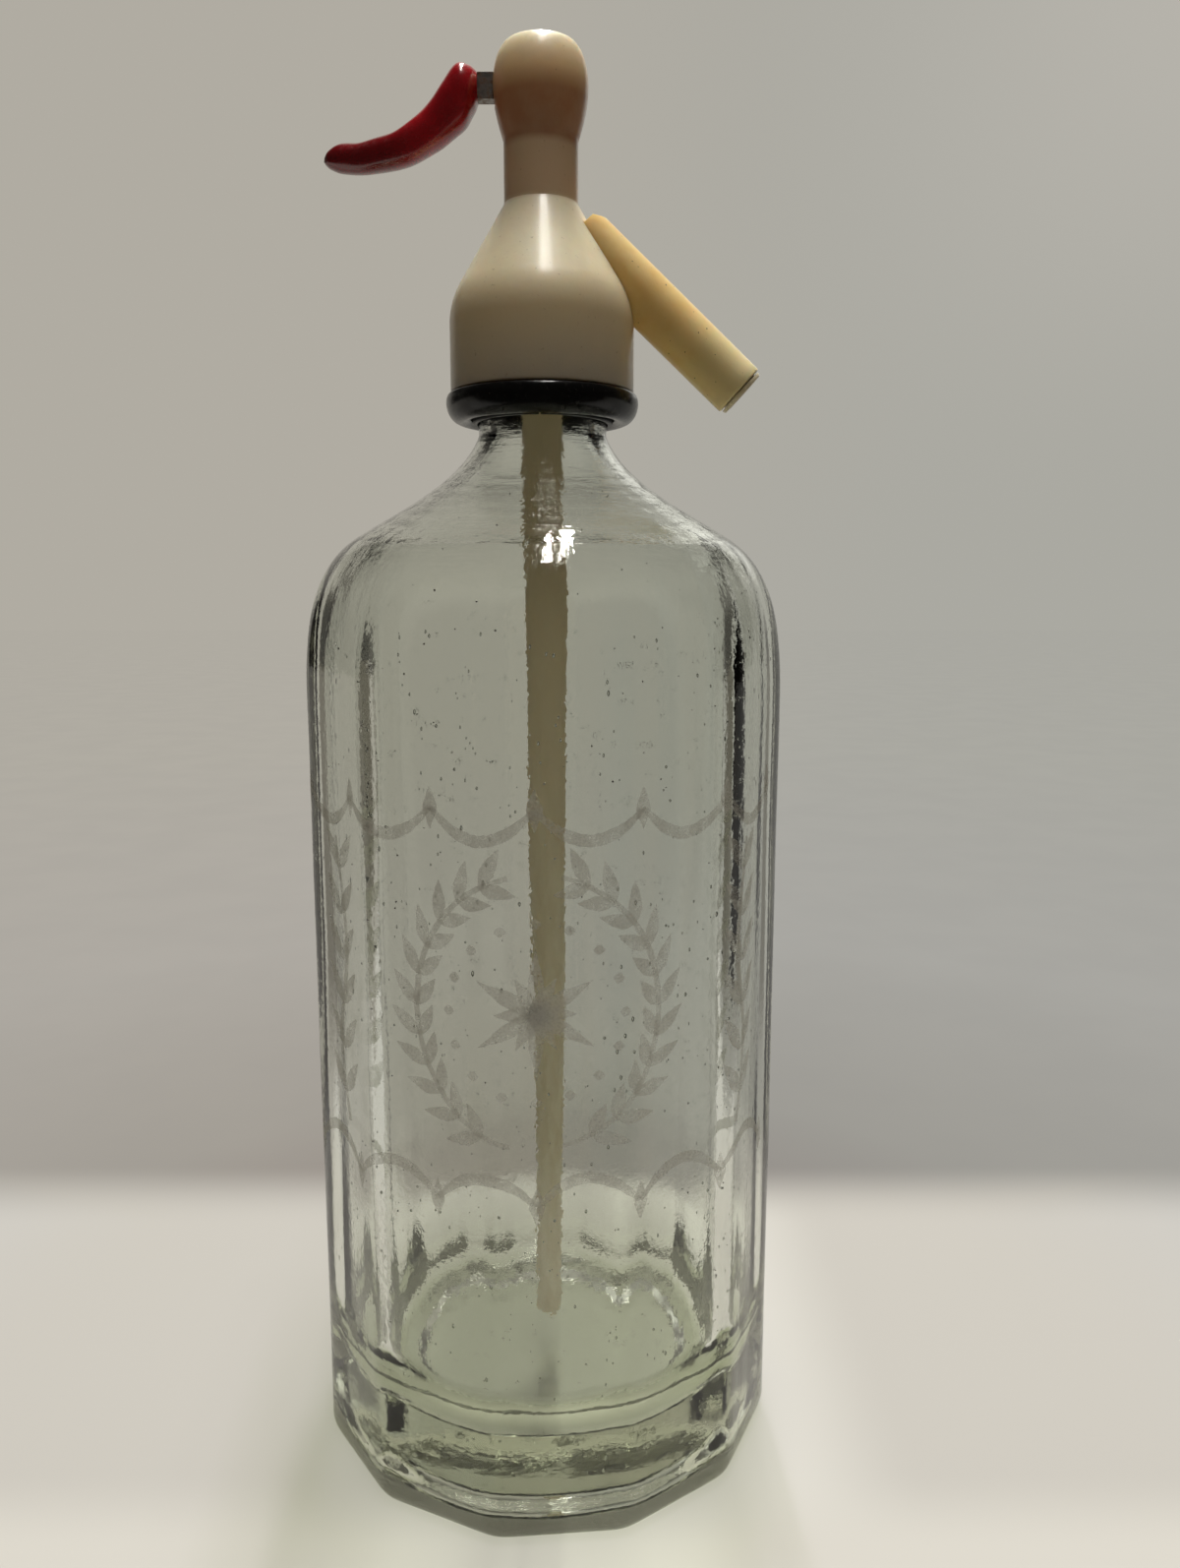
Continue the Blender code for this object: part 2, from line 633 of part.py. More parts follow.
def make_lever_arm(pivot):
    """The strip: a nose in the rod's eye, a hub on the pin, and a core inside the grip."""
    steel = material("grey_steel", (0.30, 0.31, 0.32), 0.35, metallic=1.0)
    nose = arc(0, pivot_z, NOSE_R, -140, 140, 10)
    half_tongue = TONGUE_H / 2
    strip_top = pivot_z + ARM_H / 2
    upper = [(-ARM_HUB_X, pivot_z + half_tongue), (-ARM_HUB_X, strip_top), (-ARM_MOUTH_X, strip_top)]
    lower = [(x, 2 * pivot_z - z) for x, z in reversed(upper)]
    for row, (x, z, _, slope) in enumerate(grip_stations()[:CORE_LAST_ROW + 1]):
        half = core_half(row)
        if row:
            upper.append((x - half * math.sin(slope), z + half * math.cos(slope)))
            lower.insert(0, (x + half * math.sin(slope), z - half * math.cos(slope)))
        else:
            upper.append((x, z + half))
            lower.insert(0, (x, z - half))
    outline = nose + upper + lower
    mesh_data = bmesh.new()
    face = mesh_data.faces.new([mesh_data.verts.new((x, -ARM_T / 2, z)) for x, z in outline])
    made = bmesh.ops.extrude_face_region(mesh_data, geom=[face])["geom"]
    moved = [item for item in made if isinstance(item, bmesh.types.BMVert)]
    bmesh.ops.translate(mesh_data, vec=(0, ARM_T, 0), verts=moved)
    arm = finish("lever_arm", mesh_data, steel, 30.0)
    arm.data.transform(Matrix.Translation((PIVOT_X, 0, -pivot_z)))
    arm.parent = pivot
    eye = round_bar("arm_eye_guide", PIN_R + GAP, -ARM_T, ARM_T)
    eye.rotation_euler = (-math.pi / 2, 0, 0)
    eye.location = (-PIVOT_X, 0, pivot_z)
    cut(arm, eye)
    return arm


def grip_ring(x, z, half_h, half_w, slope):
    """One rounded section of the grip, square to its path, with a soft ridge at each side."""
    points = []
    for index in range(GRIP_SIDES):
        angle = math.tau * index / GRIP_SIDES
        across = half_w * math.copysign(abs(math.cos(angle)) ** GRIP_RIDGE_POWER, math.cos(angle))
        up = half_h * math.sin(angle)
        points.append((x - up * math.sin(slope), across, z + up * math.cos(slope)))
    return points


def core_ring(x, z, half_h, half_w, slope):
    """One section of the grip's hollow: a box with as many points as the outside."""
    points = []
    for index in range(GRIP_SIDES):
        angle = math.tau * index / GRIP_SIDES
        reach = 1 / max(abs(math.cos(angle)), abs(math.sin(angle)))
        across = half_w * reach * math.cos(angle)
        up = half_h * reach * math.sin(angle)
        points.append((x - up * math.sin(slope), across, z + up * math.cos(slope)))
    return points


def make_lever_grip(pivot):
    """The dipped sleeve: a swelling shoulder, a bent back and a blunt tip."""
    red = material("red_grip", (0.36, 0.012, 0.012), 0.12)
    stations = grip_stations()
    tip = (-ARM_MOUTH_X - GRIP_REACH, 0, pivot_z - GRIP_DROP)
    width_of = GRIP_W / GRIP_H
    rings = [[tip]]
    for x, z, half, slope in reversed(stations):
        rings.append(grip_ring(x, z, half, half * width_of, slope))
    for row, (x, z, _, slope) in enumerate(stations[:CORE_LAST_ROW + 1]):
        rings.append(core_ring(x, z, core_half(row) + GAP, ARM_T / 2 + GAP, slope))
    last_x, last_z, _, last_slope = stations[CORE_LAST_ROW]
    end = (last_x - GAP * math.cos(last_slope), last_z - GAP * math.sin(last_slope))
    rings.append(core_ring(*end, core_half(CORE_LAST_ROW) + GAP, ARM_T / 2 + GAP, last_slope))
    rings.append([(end[0], 0, end[1])])
    grip = skin("lever_grip", rings, red, 50.0)
    grip.data.transform(Matrix.Translation((PIVOT_X, 0, -pivot_z)))
    grip.parent = pivot
    return grip


def make_lever_pin():
    """The pin the lever turns on, pushed in from the back."""
    steel = material("pin_steel", (0.45, 0.45, 0.46), 0.3, metallic=1.0)
    back = math.sqrt(BULB_R ** 2 - PIVOT_X ** 2) - PIN_SUNK
    pin = round_bar("lever_pin", PIN_R, -PIN_BLIND + GAP, back, steel)
    pin.rotation_euler = (-math.pi / 2, 0, 0)
    pin.location = (-PIVOT_X, 0, pivot_z)
    return pin


# Valve and its rod

def make_valve_rod(carrier):
    """A round rod whose flat eye takes the lever's nose."""
    steel = material("rod_steel", (0.45, 0.46, 0.47), 0.25, metallic=1.0)
    window_half_w = ARM_T / 2 + GAP
    window_half_h = NOSE_R + GAP
    frame_half_w = window_half_w + EYE_SIDE_W
    base_z = pivot_z - window_half_h - EYE_BASE_H
    top_z = pivot_z + window_half_h + EYE_BAR_H
    rod = round_bar("valve_rod", ROD_R, rod_z, base_z + EYE_BASE_H / 2, steel)
    frame = box(
        "eye_frame_guide", (-EYE_DEPTH / 2, -frame_half_w, base_z), (EYE_DEPTH / 2, frame_half_w, top_z),
    )
    frame.hide_render = True
    frame.display_type = "WIRE"
    join = rod.modifiers.new("join_eye", "BOOLEAN")
    join.operation = "UNION"
    join.solver = "EXACT"
    join.object = frame
    cut(rod, box(
        "eye_window_guide", (-EYE_DEPTH, -window_half_w, pivot_z - window_half_h),
        (EYE_DEPTH, window_half_w, pivot_z + window_half_h),
    ))
    rod.parent = carrier
    return rod


def make_valve_head(carrier):
    """Washer, holder and screw on the rod's lower end."""
    brass = material("brass_holder", (0.65, 0.48, 0.22), 0.3, metallic=1.0)
    rubber = material("black_rubber", (0.03, 0.03, 0.03), 0.6)
    plated = material("plated_screw", (0.55, 0.55, 0.56), 0.25, metallic=1.0)
    screw_hole_r = SCREW_R + GAP
    pieces = []

    washer_outline = [
        (screw_hole_r, washer_z), (WASHER_R, washer_z),
        (WASHER_R, washer_z + WASHER_H), (screw_hole_r, washer_z + WASHER_H),
    ]
    pieces.append(turned("valve_washer", washer_outline, rubber))

    rim_in = WASHER_R + GAP
    rim_out = rim_in + HOLDER_RIM_W
    floor_top = holder_z + HOLDER_FLOOR_H
    top_z = floor_top + HOLDER_SOCKET_H
    holder_outline = [
        (screw_hole_r, holder_z), (rim_in, holder_z), (rim_in, holder_z - HOLDER_RIM_H),
        (rim_out, holder_z - HOLDER_RIM_H), (rim_out, floor_top), (HOLDER_BOSS_R, floor_top),
        (HOLDER_BOSS_R, top_z), (guide_r, top_z), (guide_r, floor_top), (screw_hole_r, floor_top),
    ]
    pieces.append(turned("disc_holder", holder_outline, brass))

    head_top = washer_z - GAP
    screw_outline = [
        (0, head_top - SCREW_HEAD_H), (SCREW_HEAD_R, head_top - SCREW_HEAD_H), (SCREW_HEAD_R, head_top),
        (SCREW_R, head_top), (SCREW_R, floor_top), (0, floor_top),
    ]
    pieces.append(turned("washer_screw", screw_outline, plated, closed=False))
    for piece in pieces:
        piece.parent = carrier
    return pieces


def make_seat():
    """The bushing with the valve's seat, its gasket, and the socket for the dip tube."""
    brass = material("brass_seat", (0.62, 0.46, 0.22), 0.35, metallic=1.0)
    rubber = material("seat_rubber", (0.04, 0.04, 0.04), 0.6)
    barrel_top = seat_ledge_z - GAP
    gasket_top = roof_z - GAP
    flange_top = gasket_top - SEAT_GASKET_H - GAP
    flange_r = SEAT_BARREL_R + SEAT_FLANGE_W
    flange_z = flange_top - SEAT_FLANGE_H
    socket_r = TUBE_R + GAP
    spigot_z = flange_z - SPIGOT_H
    socket_top = spigot_z + TUBE_SOCKET_H
    seal_r = socket_r + 2 * SEAL_WIRE_R + GAP / 2
    lip_out_r = SEAT_BORE_R + SEAT_LIP_W
    outline = [
        (seal_r, spigot_z), (SPIGOT_R, spigot_z), (SPIGOT_R, flange_z), (flange_r, flange_z),
        (flange_r, flange_top), (SEAT_BARREL_R, flange_top), (SEAT_BARREL_R, barrel_top),
        (lip_out_r, barrel_top), (lip_out_r, seat_lip_z), (SEAT_BORE_R, seat_lip_z),
        (SEAT_BORE_R, socket_top), (socket_r, socket_top), (socket_r, spigot_z + SEAL_SEAT_H),
        (seal_r, spigot_z + SEAL_SEAT_H),
    ]
    seat = turned("valve_seat", outline, brass)
    gasket_outline = [
        (seat_bore_r, gasket_top - SEAT_GASKET_H), (flange_r, gasket_top - SEAT_GASKET_H),
        (flange_r, gasket_top), (seat_bore_r, gasket_top),
    ]
    gasket = turned("seat_gasket", gasket_outline, rubber)
    return seat, gasket, spigot_z, socket_top


def make_dip_tube(spigot_z, socket_top):
    """The cream tube to the bottle's floor, with its sealing ring and ferrule."""
    cream = material("cream_tube", (0.72, 0.66, 0.50), 0.4)
    rubber = material("tube_rubber", (0.03, 0.03, 0.03), 0.6)
    plastic = material("ferrule_plastic", (0.60, 0.55, 0.42), 0.45)
    low = BASE_THICK + TUBE_ABOVE_FLOOR
    high = socket_top - GAP
    tube = turned(
        "dip_tube", [(TUBE_BORE_R, low), (TUBE_R, low), (TUBE_R, high), (TUBE_BORE_R, high)], cream,
    )
    socket_r = TUBE_R + GAP
    centre_r = socket_r + SEAL_WIRE_R
    ring_z = spigot_z + SEAL_SEAT_H - GAP - SEAL_WIRE_R
    ring = turned("tube_seal_ring", arc(centre_r, ring_z, SEAL_WIRE_R, 0, 315, 7), rubber)
    nose_top = ring_z - SEAL_WIRE_R - GAP
    nose_z = nose_top - FERRULE_NOSE_H
    foot_z = nose_z - FERRULE_H
    nose_r = socket_r + FERRULE_NOSE_W
    ferrule_outline = [
        (socket_r, foot_z), (SPIGOT_R, foot_z), (SPIGOT_R, spigot_z - GAP),
        (nose_r, spigot_z - GAP), (nose_r, nose_top), (socket_r, nose_top),
    ]
    ferrule = turned("tube_ferrule", ferrule_outline, plastic)
    return tube, ring, ferrule


def make_rod_seal():
    """The seal where the rod leaves the chamber, and the gland that presses it."""
    rubber = material("rod_rubber", (0.03, 0.03, 0.03), 0.6)
    brass = material("brass_gland", (0.62, 0.46, 0.22), 0.35, metallic=1.0)
    seal_z = pocket_z + GAP
    outer_r = SEAL_POCKET_R - GAP
    seal_top = seal_z + ROD_SEAL_H
    seal = turned(
        "rod_seal", [(guide_r, seal_z), (outer_r, seal_z), (outer_r, seal_top), (guide_r, seal_top)], rubber,
    )
    flange_z = cone_top_z + GAP
    flange_r = SPRING_BORE_R - GAP
    gland_top = flange_z + GLAND_FLANGE_H
    gland = turned("seal_gland", [
        (guide_r, seal_top + GAP), (outer_r, seal_top + GAP), (outer_r, flange_z), (flange_r, flange_z),
        (flange_r, gland_top), (guide_r, gland_top),
    ], brass)
    return seal, gland, gland_top


def make_spring(gland_top, carrier):
    """The spring that presses the valve shut, between the rod's collar and a fixed stop."""
    steel = material("spring_steel", (0.50, 0.50, 0.50), 0.3, metallic=1.0)
    collar_foot = gland_top + COLLAR_LIFT_CLEAR
    collar_top = collar_foot + ROD_COLLAR_H
    collar_out = SPRING_BORE_R - GAP
    collar = turned("rod_collar", [
        (guide_r, collar_foot), (collar_out, collar_foot), (collar_out, collar_top), (guide_r, collar_top),
    ], steel)
    collar.parent = carrier

    stop_z = stop_ledge_z + GAP
    stop_out = BULB_BORE_R - GAP
    stop = turned("spring_stop", [
        (guide_r, stop_z), (stop_out, stop_z), (stop_out, stop_z + STOP_H), (guide_r, stop_z + STOP_H),
    ], steel)

    low = collar_top + GAP + SPRING_WIRE_R
    high = stop_z - GAP - SPRING_WIRE_R
    count = round(SPRING_TURNS * SPRING_POINTS_PER_TURN)
    points = []
    for index in range(count + 1):
        share = index / count
        angle = math.tau * SPRING_TURNS * share
        points.append((SPRING_R * math.cos(angle), SPRING_R * math.sin(angle), low + (high - low) * share))
    curve = bpy.data.curves.new("return_spring", "CURVE")
    curve.dimensions = "3D"
    curve.bevel_depth = SPRING_WIRE_R
    curve.bevel_resolution = SPRING_SIDE_STEPS
    curve.use_fill_caps = True
    spline = curve.splines.new("POLY")
    spline.points.add(len(points) - 1)
    for point, place in zip(spline.points, points):
        point.co = (*place, 1)
        point.radius = 1
    spline.use_smooth = True
    curve.materials.append(steel)
    spring = bpy.data.objects.new("return_spring", curve)
    bpy.context.collection.objects.link(spring)
    self_gap = least_self_gap(points, SPRING_POINTS_PER_TURN // 2, 2 * SPRING_WIRE_R)
    print("return_spring: least gap between its turns, mm:", round(self_gap / MM, 2))
    return spring, collar, stop


def least_self_gap(points, apart, thickness):
    """Least distance between parts of a coil that lie at least half a turn apart."""
    places = [Vector(point) for point in points]
    least = min(
        (places[a] - places[b]).length
        for a in range(len(places)) for b in range(a + apart, len(places))
    )
    return least - thickness


def main():
    """Build every piece, with the two moving groups on their joints."""
    clear_scene()
    pivot = bpy.data.objects.new("lever_pivot", None)
    pivot.location = (-PIVOT_X, 0, pivot_z)
    carrier = bpy.data.objects.new("valve_slide", None)
    for empty in (pivot, carrier):
        bpy.context.collection.objects.link(empty)

    make_glass_bottle()
    make_neck_collar()
    make_split_rings()
    make_neck_gasket()
    make_head_body()
    make_spout()
    make_top_plug()
    make_lever_arm(pivot)
    make_lever_grip(pivot)
    make_lever_pin()
    make_valve_rod(carrier)
    make_valve_head(carrier)
    _, _, spigot_z, socket_top = make_seat()
    make_dip_tube(spigot_z, socket_top)
    _, _, gland_top = make_rod_seal()
    make_spring(gland_top, carrier)

    print("total height, mm:", round((plug_ledge_z + GAP + PLUG_EDGE_H + PLUG_DOME_H) / MM, 1))
    print("lever pivot, mm:", round(-PIVOT_X / MM, 2), 0, round(pivot_z / MM, 2))
    print("rod lift at the lever's stop, mm:", round(lift / MM, 3))


main()
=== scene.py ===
import math
import random

import bmesh
import bpy
import numpy as np
from mathutils import Matrix, Vector

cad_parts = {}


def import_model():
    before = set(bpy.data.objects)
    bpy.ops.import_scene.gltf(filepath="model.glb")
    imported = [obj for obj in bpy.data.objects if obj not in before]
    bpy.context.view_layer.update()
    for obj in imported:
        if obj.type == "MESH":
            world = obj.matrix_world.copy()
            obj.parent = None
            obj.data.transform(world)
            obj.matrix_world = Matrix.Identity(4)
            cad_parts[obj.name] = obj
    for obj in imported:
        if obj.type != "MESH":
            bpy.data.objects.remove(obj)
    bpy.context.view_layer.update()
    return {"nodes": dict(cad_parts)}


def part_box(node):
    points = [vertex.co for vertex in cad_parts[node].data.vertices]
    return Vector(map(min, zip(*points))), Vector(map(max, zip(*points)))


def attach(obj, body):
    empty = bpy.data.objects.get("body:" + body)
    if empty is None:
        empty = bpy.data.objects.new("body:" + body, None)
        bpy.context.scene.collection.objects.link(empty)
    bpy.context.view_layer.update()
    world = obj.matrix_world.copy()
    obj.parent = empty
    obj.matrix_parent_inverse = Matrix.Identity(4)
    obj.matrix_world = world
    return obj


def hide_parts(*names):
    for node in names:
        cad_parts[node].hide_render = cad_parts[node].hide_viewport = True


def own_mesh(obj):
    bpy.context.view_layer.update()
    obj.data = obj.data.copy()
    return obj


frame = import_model()

MM = 0.001

# Camera, from the photograph
CAMERA_X, CAMERA_Y, CAMERA_Z = 10.2 * MM, -263.0 * MM, 191.3 * MM
CAMERA_TILT_DEG = 80.82
CAMERA_LENS = 27.10

# Glass, outside and inside
FACETS = 12
FACET_TURN_DEG = -10.0
CORNER_POWER = 90.0
INNER_CORNER_POWER = 45.0
BODY_CORNER_R = 52.4 * MM
HEEL_IN, HEEL_H = 2.6 * MM, 5.0 * MM
CONTACT_RING_W = 9.0 * MM
PUSH_UP_SLOPE, PUSH_UP_H = 7.0 * MM, 2.5 * MM
SHOULDER_Z, SHOULDER_H = 170.0 * MM, 32.7 * MM
SHOULDER_END_R = 40.3 * MM
NECK_CURVE_H, NECK_R, NECK_RUN = 21.8 * MM, 13.7 * MM, 10.0 * MM
BEAD_OUT, BEAD_H, LIP_ROUND = 1.3 * MM, 7.5 * MM, 1.2 * MM
FACET_FADE_START, FACET_FADE_H = 176.0 * MM, 28.0 * MM
BODY_WALL, BASE_THICK, FLOOR_ROUND = 6.3 * MM, 15.0 * MM, 21.0 * MM
SHOULDER_WALL, NECK_BORE_R = 5.0 * MM, 10.0 * MM
GLASS_SIDES = 240
break_z = SHOULDER_Z + SHOULDER_H
neck_z = break_z + NECK_CURVE_H
bead_z = neck_z + NECK_RUN
lip_z = bead_z + BEAD_H
bead_r = NECK_R + BEAD_OUT

# Head
GAP = 0.3 * MM
CONE_DEG = 30.6
SHOULDER_R = 16.0 * MM
SKIRT_R, SKIRT_BORE_R = 19.5 * MM, 17.9 * MM
SKIRT_Z, BELL_Z, ROOF_Z = 233.3 * MM, 247.0 * MM, 244.6 * MM
NECK_TUBE_R = 7.75 * MM
BULB_R, BULB_RIM_R = 9.87 * MM, 7.4 * MM
BULB_LOW_H, BULB_TOP_H, NECK_TUBE_H = 10.5 * MM, 7.9 * MM, 12.3 * MM
BULB_BORE_R, PLUG_LEDGE_BELOW, PLUG_LEDGE_W = 6.3 * MM, 2.0 * MM, 0.5 * MM
STOP_LEDGE_BELOW = 8.8 * MM
PLUG_EDGE_H, PLUG_DOME_H = 1.6 * MM, 0.5 * MM
cone_angle = math.radians(CONE_DEG)
cone_z = BELL_Z + SHOULDER_R * math.sin(cone_angle)
cone_r = SKIRT_R - SHOULDER_R * (1 - math.cos(cone_angle))
cone_top_z = cone_z + (cone_r - NECK_TUBE_R) / math.tan(cone_angle)
bulb_z = cone_top_z + NECK_TUBE_H
pivot_z = bulb_z + BULB_LOW_H
bulb_top_z = pivot_z + BULB_TOP_H
plug_ledge_z = bulb_top_z - PLUG_LEDGE_BELOW

# Spout
SPOUT_DEG = 43.0
SPOUT_R, SPOUT_BORE_R = 5.85 * MM, 3.9 * MM
SPOUT_CROSS_ABOVE = 2.1 * MM
SPOUT_ROOT, SPOUT_TIP, SPOUT_TRIM_BELOW = 11.3 * MM, 57.6 * MM, 2.9 * MM
LINER_WALL, LINER_LENGTH, LINER_LIP_OUT, LINER_LIP_H = 0.6 * MM, 12.0 * MM, 0.5 * MM, 0.8 * MM

# Lever
PIVOT_X = 6.0 * MM
LEVER_DEG = 15.0
ARM_H, ARM_T, ARM_HUB_X, ARM_MOUTH_X = 5.1 * MM, 3.0 * MM, 4.2 * MM, 12.9 * MM
TONGUE_H, NOSE_R = 2.0 * MM, 1.5 * MM
CORE_H, CORE_TIP_H = 4.0 * MM, 2.4 * MM
PIN_R, PIN_SUNK, PIN_BLIND = 1.0 * MM, 0.4 * MM, 5.5 * MM
GRIP_REACH, GRIP_DROP, GRIP_H, GRIP_W = 32.3 * MM, 14.2 * MM, 9.8 * MM, 10.4 * MM
GRIP_SHARES = (
    (0.000, 0.000, 0.56, 0.0),
    (0.035, 0.005, 0.82, 8.0),
    (0.087, 0.045, 1.00, 18.0),
    (0.154, 0.243, 0.945, 30.0),
    (0.228, 0.419, 0.835, 36.0),
    (0.335, 0.627, 0.763, 34.0),
    (0.500, 0.831, 0.708, 25.0),
    (0.722, 0.954, 0.620, 11.0),
    (0.880, 0.965, 0.545, 4.0),
    (0.957, 0.979, 0.357, 4.0),
    (0.988, 0.993, 0.163, 4.0),
)
CORE_LAST_ROW = 8

# Dip tube
TUBE_R, TUBE_BORE_R = 4.35 * MM, 2.5 * MM

# Return spring
SPRING_R, SPRING_WIRE_R, SPRING_TURNS = 4.0 * MM, 0.45 * MM, 5


# ---------------------------------------------------------------- shader nodes

def start_material(name):
    """An empty node material and its output."""
    made = bpy.data.materials.new(name)
    made.use_nodes = True
    made.node_tree.nodes.clear()
    return made, made.node_tree


def add(tree, kind, inputs=None, **settings):
    """One shader node; an input is a value or another node's output."""
    made = tree.nodes.new("ShaderNode" + kind)
    for name, value in settings.items():
        setattr(made, name, value)
    for name, value in (inputs or {}).items():
        socket = made.inputs[name]
        if isinstance(value, bpy.types.NodeSocket):
            tree.links.new(value, socket)
        elif socket.type == "RGBA" and len(value) == 3:
            socket.default_value = (*value, 1.0)
        else:
            socket.default_value = value
    return made


def object_coords(tree):
    """The piece's own coordinates, in metres."""
    return add(tree, "TexCoord").outputs["Object"]


def noise(tree, vector, size, detail=3.0, rough=0.55, stretch=None):
    """Noise whose blobs are about as large as size."""
    if stretch:
        vector = add(tree, "Mapping", {"Vector": vector, "Scale": stretch}).outputs[0]
    return add(tree, "TexNoise", {
        "Vector": vector, "Scale": 1.0 / size, "Detail": detail, "Roughness": rough,
    }).outputs["Fac"]


def math_node(tree, operation, a, b=0.0, clamp=False):
    return add(tree, "Math", {0: a, 1: b}, operation=operation, use_clamp=clamp).outputs[0]


def map_range(tree, value, low, high, to_low=0.0, to_high=1.0, smooth=True):
    return add(tree, "MapRange", {
        "Value": value, "From Min": low, "From Max": high, "To Min": to_low, "To Max": to_high,
    }, interpolation_type="SMOOTHSTEP" if smooth else "LINEAR").outputs["Result"]


def mix(tree, share, a, b, blend="MIX"):
    """Blend two colours."""
    made = tree.nodes.new("ShaderNodeMix")
    made.data_type = "RGBA"
    made.blend_type = blend
    for index, value in ((0, share), (6, a), (7, b)):
        socket = made.inputs[index]
        if isinstance(value, bpy.types.NodeSocket):
            tree.links.new(value, socket)
        elif index and len(value) == 3:
            socket.default_value = (*value, 1.0)
        else:
            socket.default_value = value
    return made.outputs[2]


def ramp(tree, value, stops):
    """A colour ramp from (place, colour) stops."""
    made = add(tree, "ValToRGB", {"Fac": value})
    elements = made.color_ramp.elements
    while len(elements) < len(stops):
        elements.new(0.5)
    for element, (place, colour) in zip(elements, stops):
        element.position = place
        element.color = (*colour, 1.0)
    return made.outputs["Color"]


def bump(tree, height, distance, strength=1.0, normal=None):
    inputs = {"Height": height, "Distance": distance, "Strength": strength}
    if normal is not None:
        inputs["Normal"] = normal
    return add(tree, "Bump", inputs).outputs["Normal"]


def close(tree, surface, volume=None):
    out = add(tree, "OutputMaterial", {"Surface": surface})
    if volume is not None:
        tree.links.new(volume, out.inputs["Volume"])


# ---------------------------------------------------------------- materials

def glass_material():
    """Pale green pressed glass with soft ripples; lamps shine through it."""
    made, tree = start_material("pale_green_glass")
    place = object_coords(tree)
    height = add(tree, "SeparateXYZ", {"Vector": place}).outputs["Z"]
    ripple = noise(tree, place, 1.3 * MM, 2.0, 0.5, (1.0, 1.0, 0.8))
    streak = noise(tree, place, 3.5 * MM, 2.0, 0.5, (1.0, 1.0, 0.04))
    chill = noise(tree, place, 1.1 * MM, 3.0, 0.65, (0.25, 0.25, 1.6))
    chill = math_node(tree, "MULTIPLY", chill, map_range(tree, height, 190 * MM, 210 * MM, 0.15, 1.7))
    relief = math_node(tree, "ADD", math_node(tree, "MULTIPLY", ripple, 0.55), streak)
    normal = bump(tree, math_node(tree, "ADD", relief, chill), 0.05 * MM)
    shader = add(tree, "BsdfPrincipled", {
        "Base Color": (0.91, 0.925, 0.895), "Roughness": 0.012, "IOR": 1.5,
        "Transmission Weight": 1.0, "Normal": normal,
    })
    clear = add(tree, "BsdfTransparent", {"Color": (0.93, 0.94, 0.92)})
    path = add(tree, "LightPath")
    lit = math_node(tree, "MAXIMUM", path.outputs["Is Shadow Ray"], path.outputs["Is Diffuse Ray"])
    both = add(tree, "MixShader", {0: lit, 1: shader.outputs[0], 2: clear.outputs[0]})
    tint = add(tree, "VolumeAbsorption", {"Color": (0.60, 0.64, 0.42), "Density": 13.0})
    close(tree, both.outputs[0], tint.outputs[0])
    return made


def head_material():
    """Aged cream plastic: amber bulb, greyer neck, a pale bell with a duller skirt; the colours by height are partly
    painted light and shade from above.
    """
    made, tree = start_material("cream_head_plastic")
    place = object_coords(tree)
    height = add(tree, "SeparateXYZ", {"Vector": place}).outputs["Z"]
    level = map_range(tree, height, SKIRT_Z, bulb_top_z, smooth=False)

    def at(z):
        return (z - SKIRT_Z) / (bulb_top_z - SKIRT_Z)

    # Colours by height, part the plastic's own tint and part painted light and shade: a pale lit bell top and bulb top,
    # painted shade on the neck, the lower bulb and the skirt.
    colour = ramp(tree, level, [
        (at(SKIRT_Z), (0.51, 0.46, 0.38)),
        (at(BELL_Z), (0.70, 0.57, 0.35)),
        (at(cone_z + 3 * MM), (0.89, 0.80, 0.55)),
        (at(cone_top_z - 0.8 * MM), (0.89, 0.80, 0.57)),
        (at(cone_top_z + 0.8 * MM), (0.70, 0.51, 0.33)),
        (at(bulb_z - 2.2 * MM), (0.70, 0.51, 0.33)),
        (at(bulb_z - 0.6 * MM), (0.42, 0.19, 0.10)),
        (at(pivot_z - 3 * MM), (0.51, 0.245, 0.118)),
        (at(pivot_z + 1 * MM), (0.92, 0.64, 0.34)),
        (at(bulb_top_z), (0.98, 0.84, 0.56)),
    ])
    cloud = noise(tree, place, 9.0 * MM, 4.0)
    colour = mix(tree, map_range(tree, cloud, 0.35, 0.70, 0.0, 0.25), colour, (0.68, 0.54, 0.36))
    dirt = noise(tree, place, 0.9 * MM, 3.0, 0.6)
    colour = mix(tree, map_range(tree, dirt, 0.66, 0.74, 0.0, 0.45), colour, (0.30, 0.20, 0.11))
    rough = map_range(tree, noise(tree, place, 2.2 * MM, 4.0, 0.65), 0.3, 0.7, 0.42, 0.58)
    peel = noise(tree, place, 1.6 * MM, 3.0)
    marks = noise(tree, place, 0.5 * MM, 2.0, 0.5, (1.0, 1.0, 0.08))
    relief = math_node(tree, "ADD", peel, math_node(tree, "MULTIPLY", marks, 0.35))
    shader = add(tree, "BsdfPrincipled", {
        "Base Color": colour, "Roughness": rough, "IOR": 1.5, "Normal": bump(tree, relief, 0.035 * MM),
        "Subsurface Weight": 0.4, "Subsurface Scale": 1.0, "Subsurface Radius": (0.0030, 0.0022, 0.0014),
        "Coat Weight": 0.6, "Coat Roughness": 0.22, "Coat IOR": 1.45,
    })
    close(tree, shader.outputs[0])
    return made


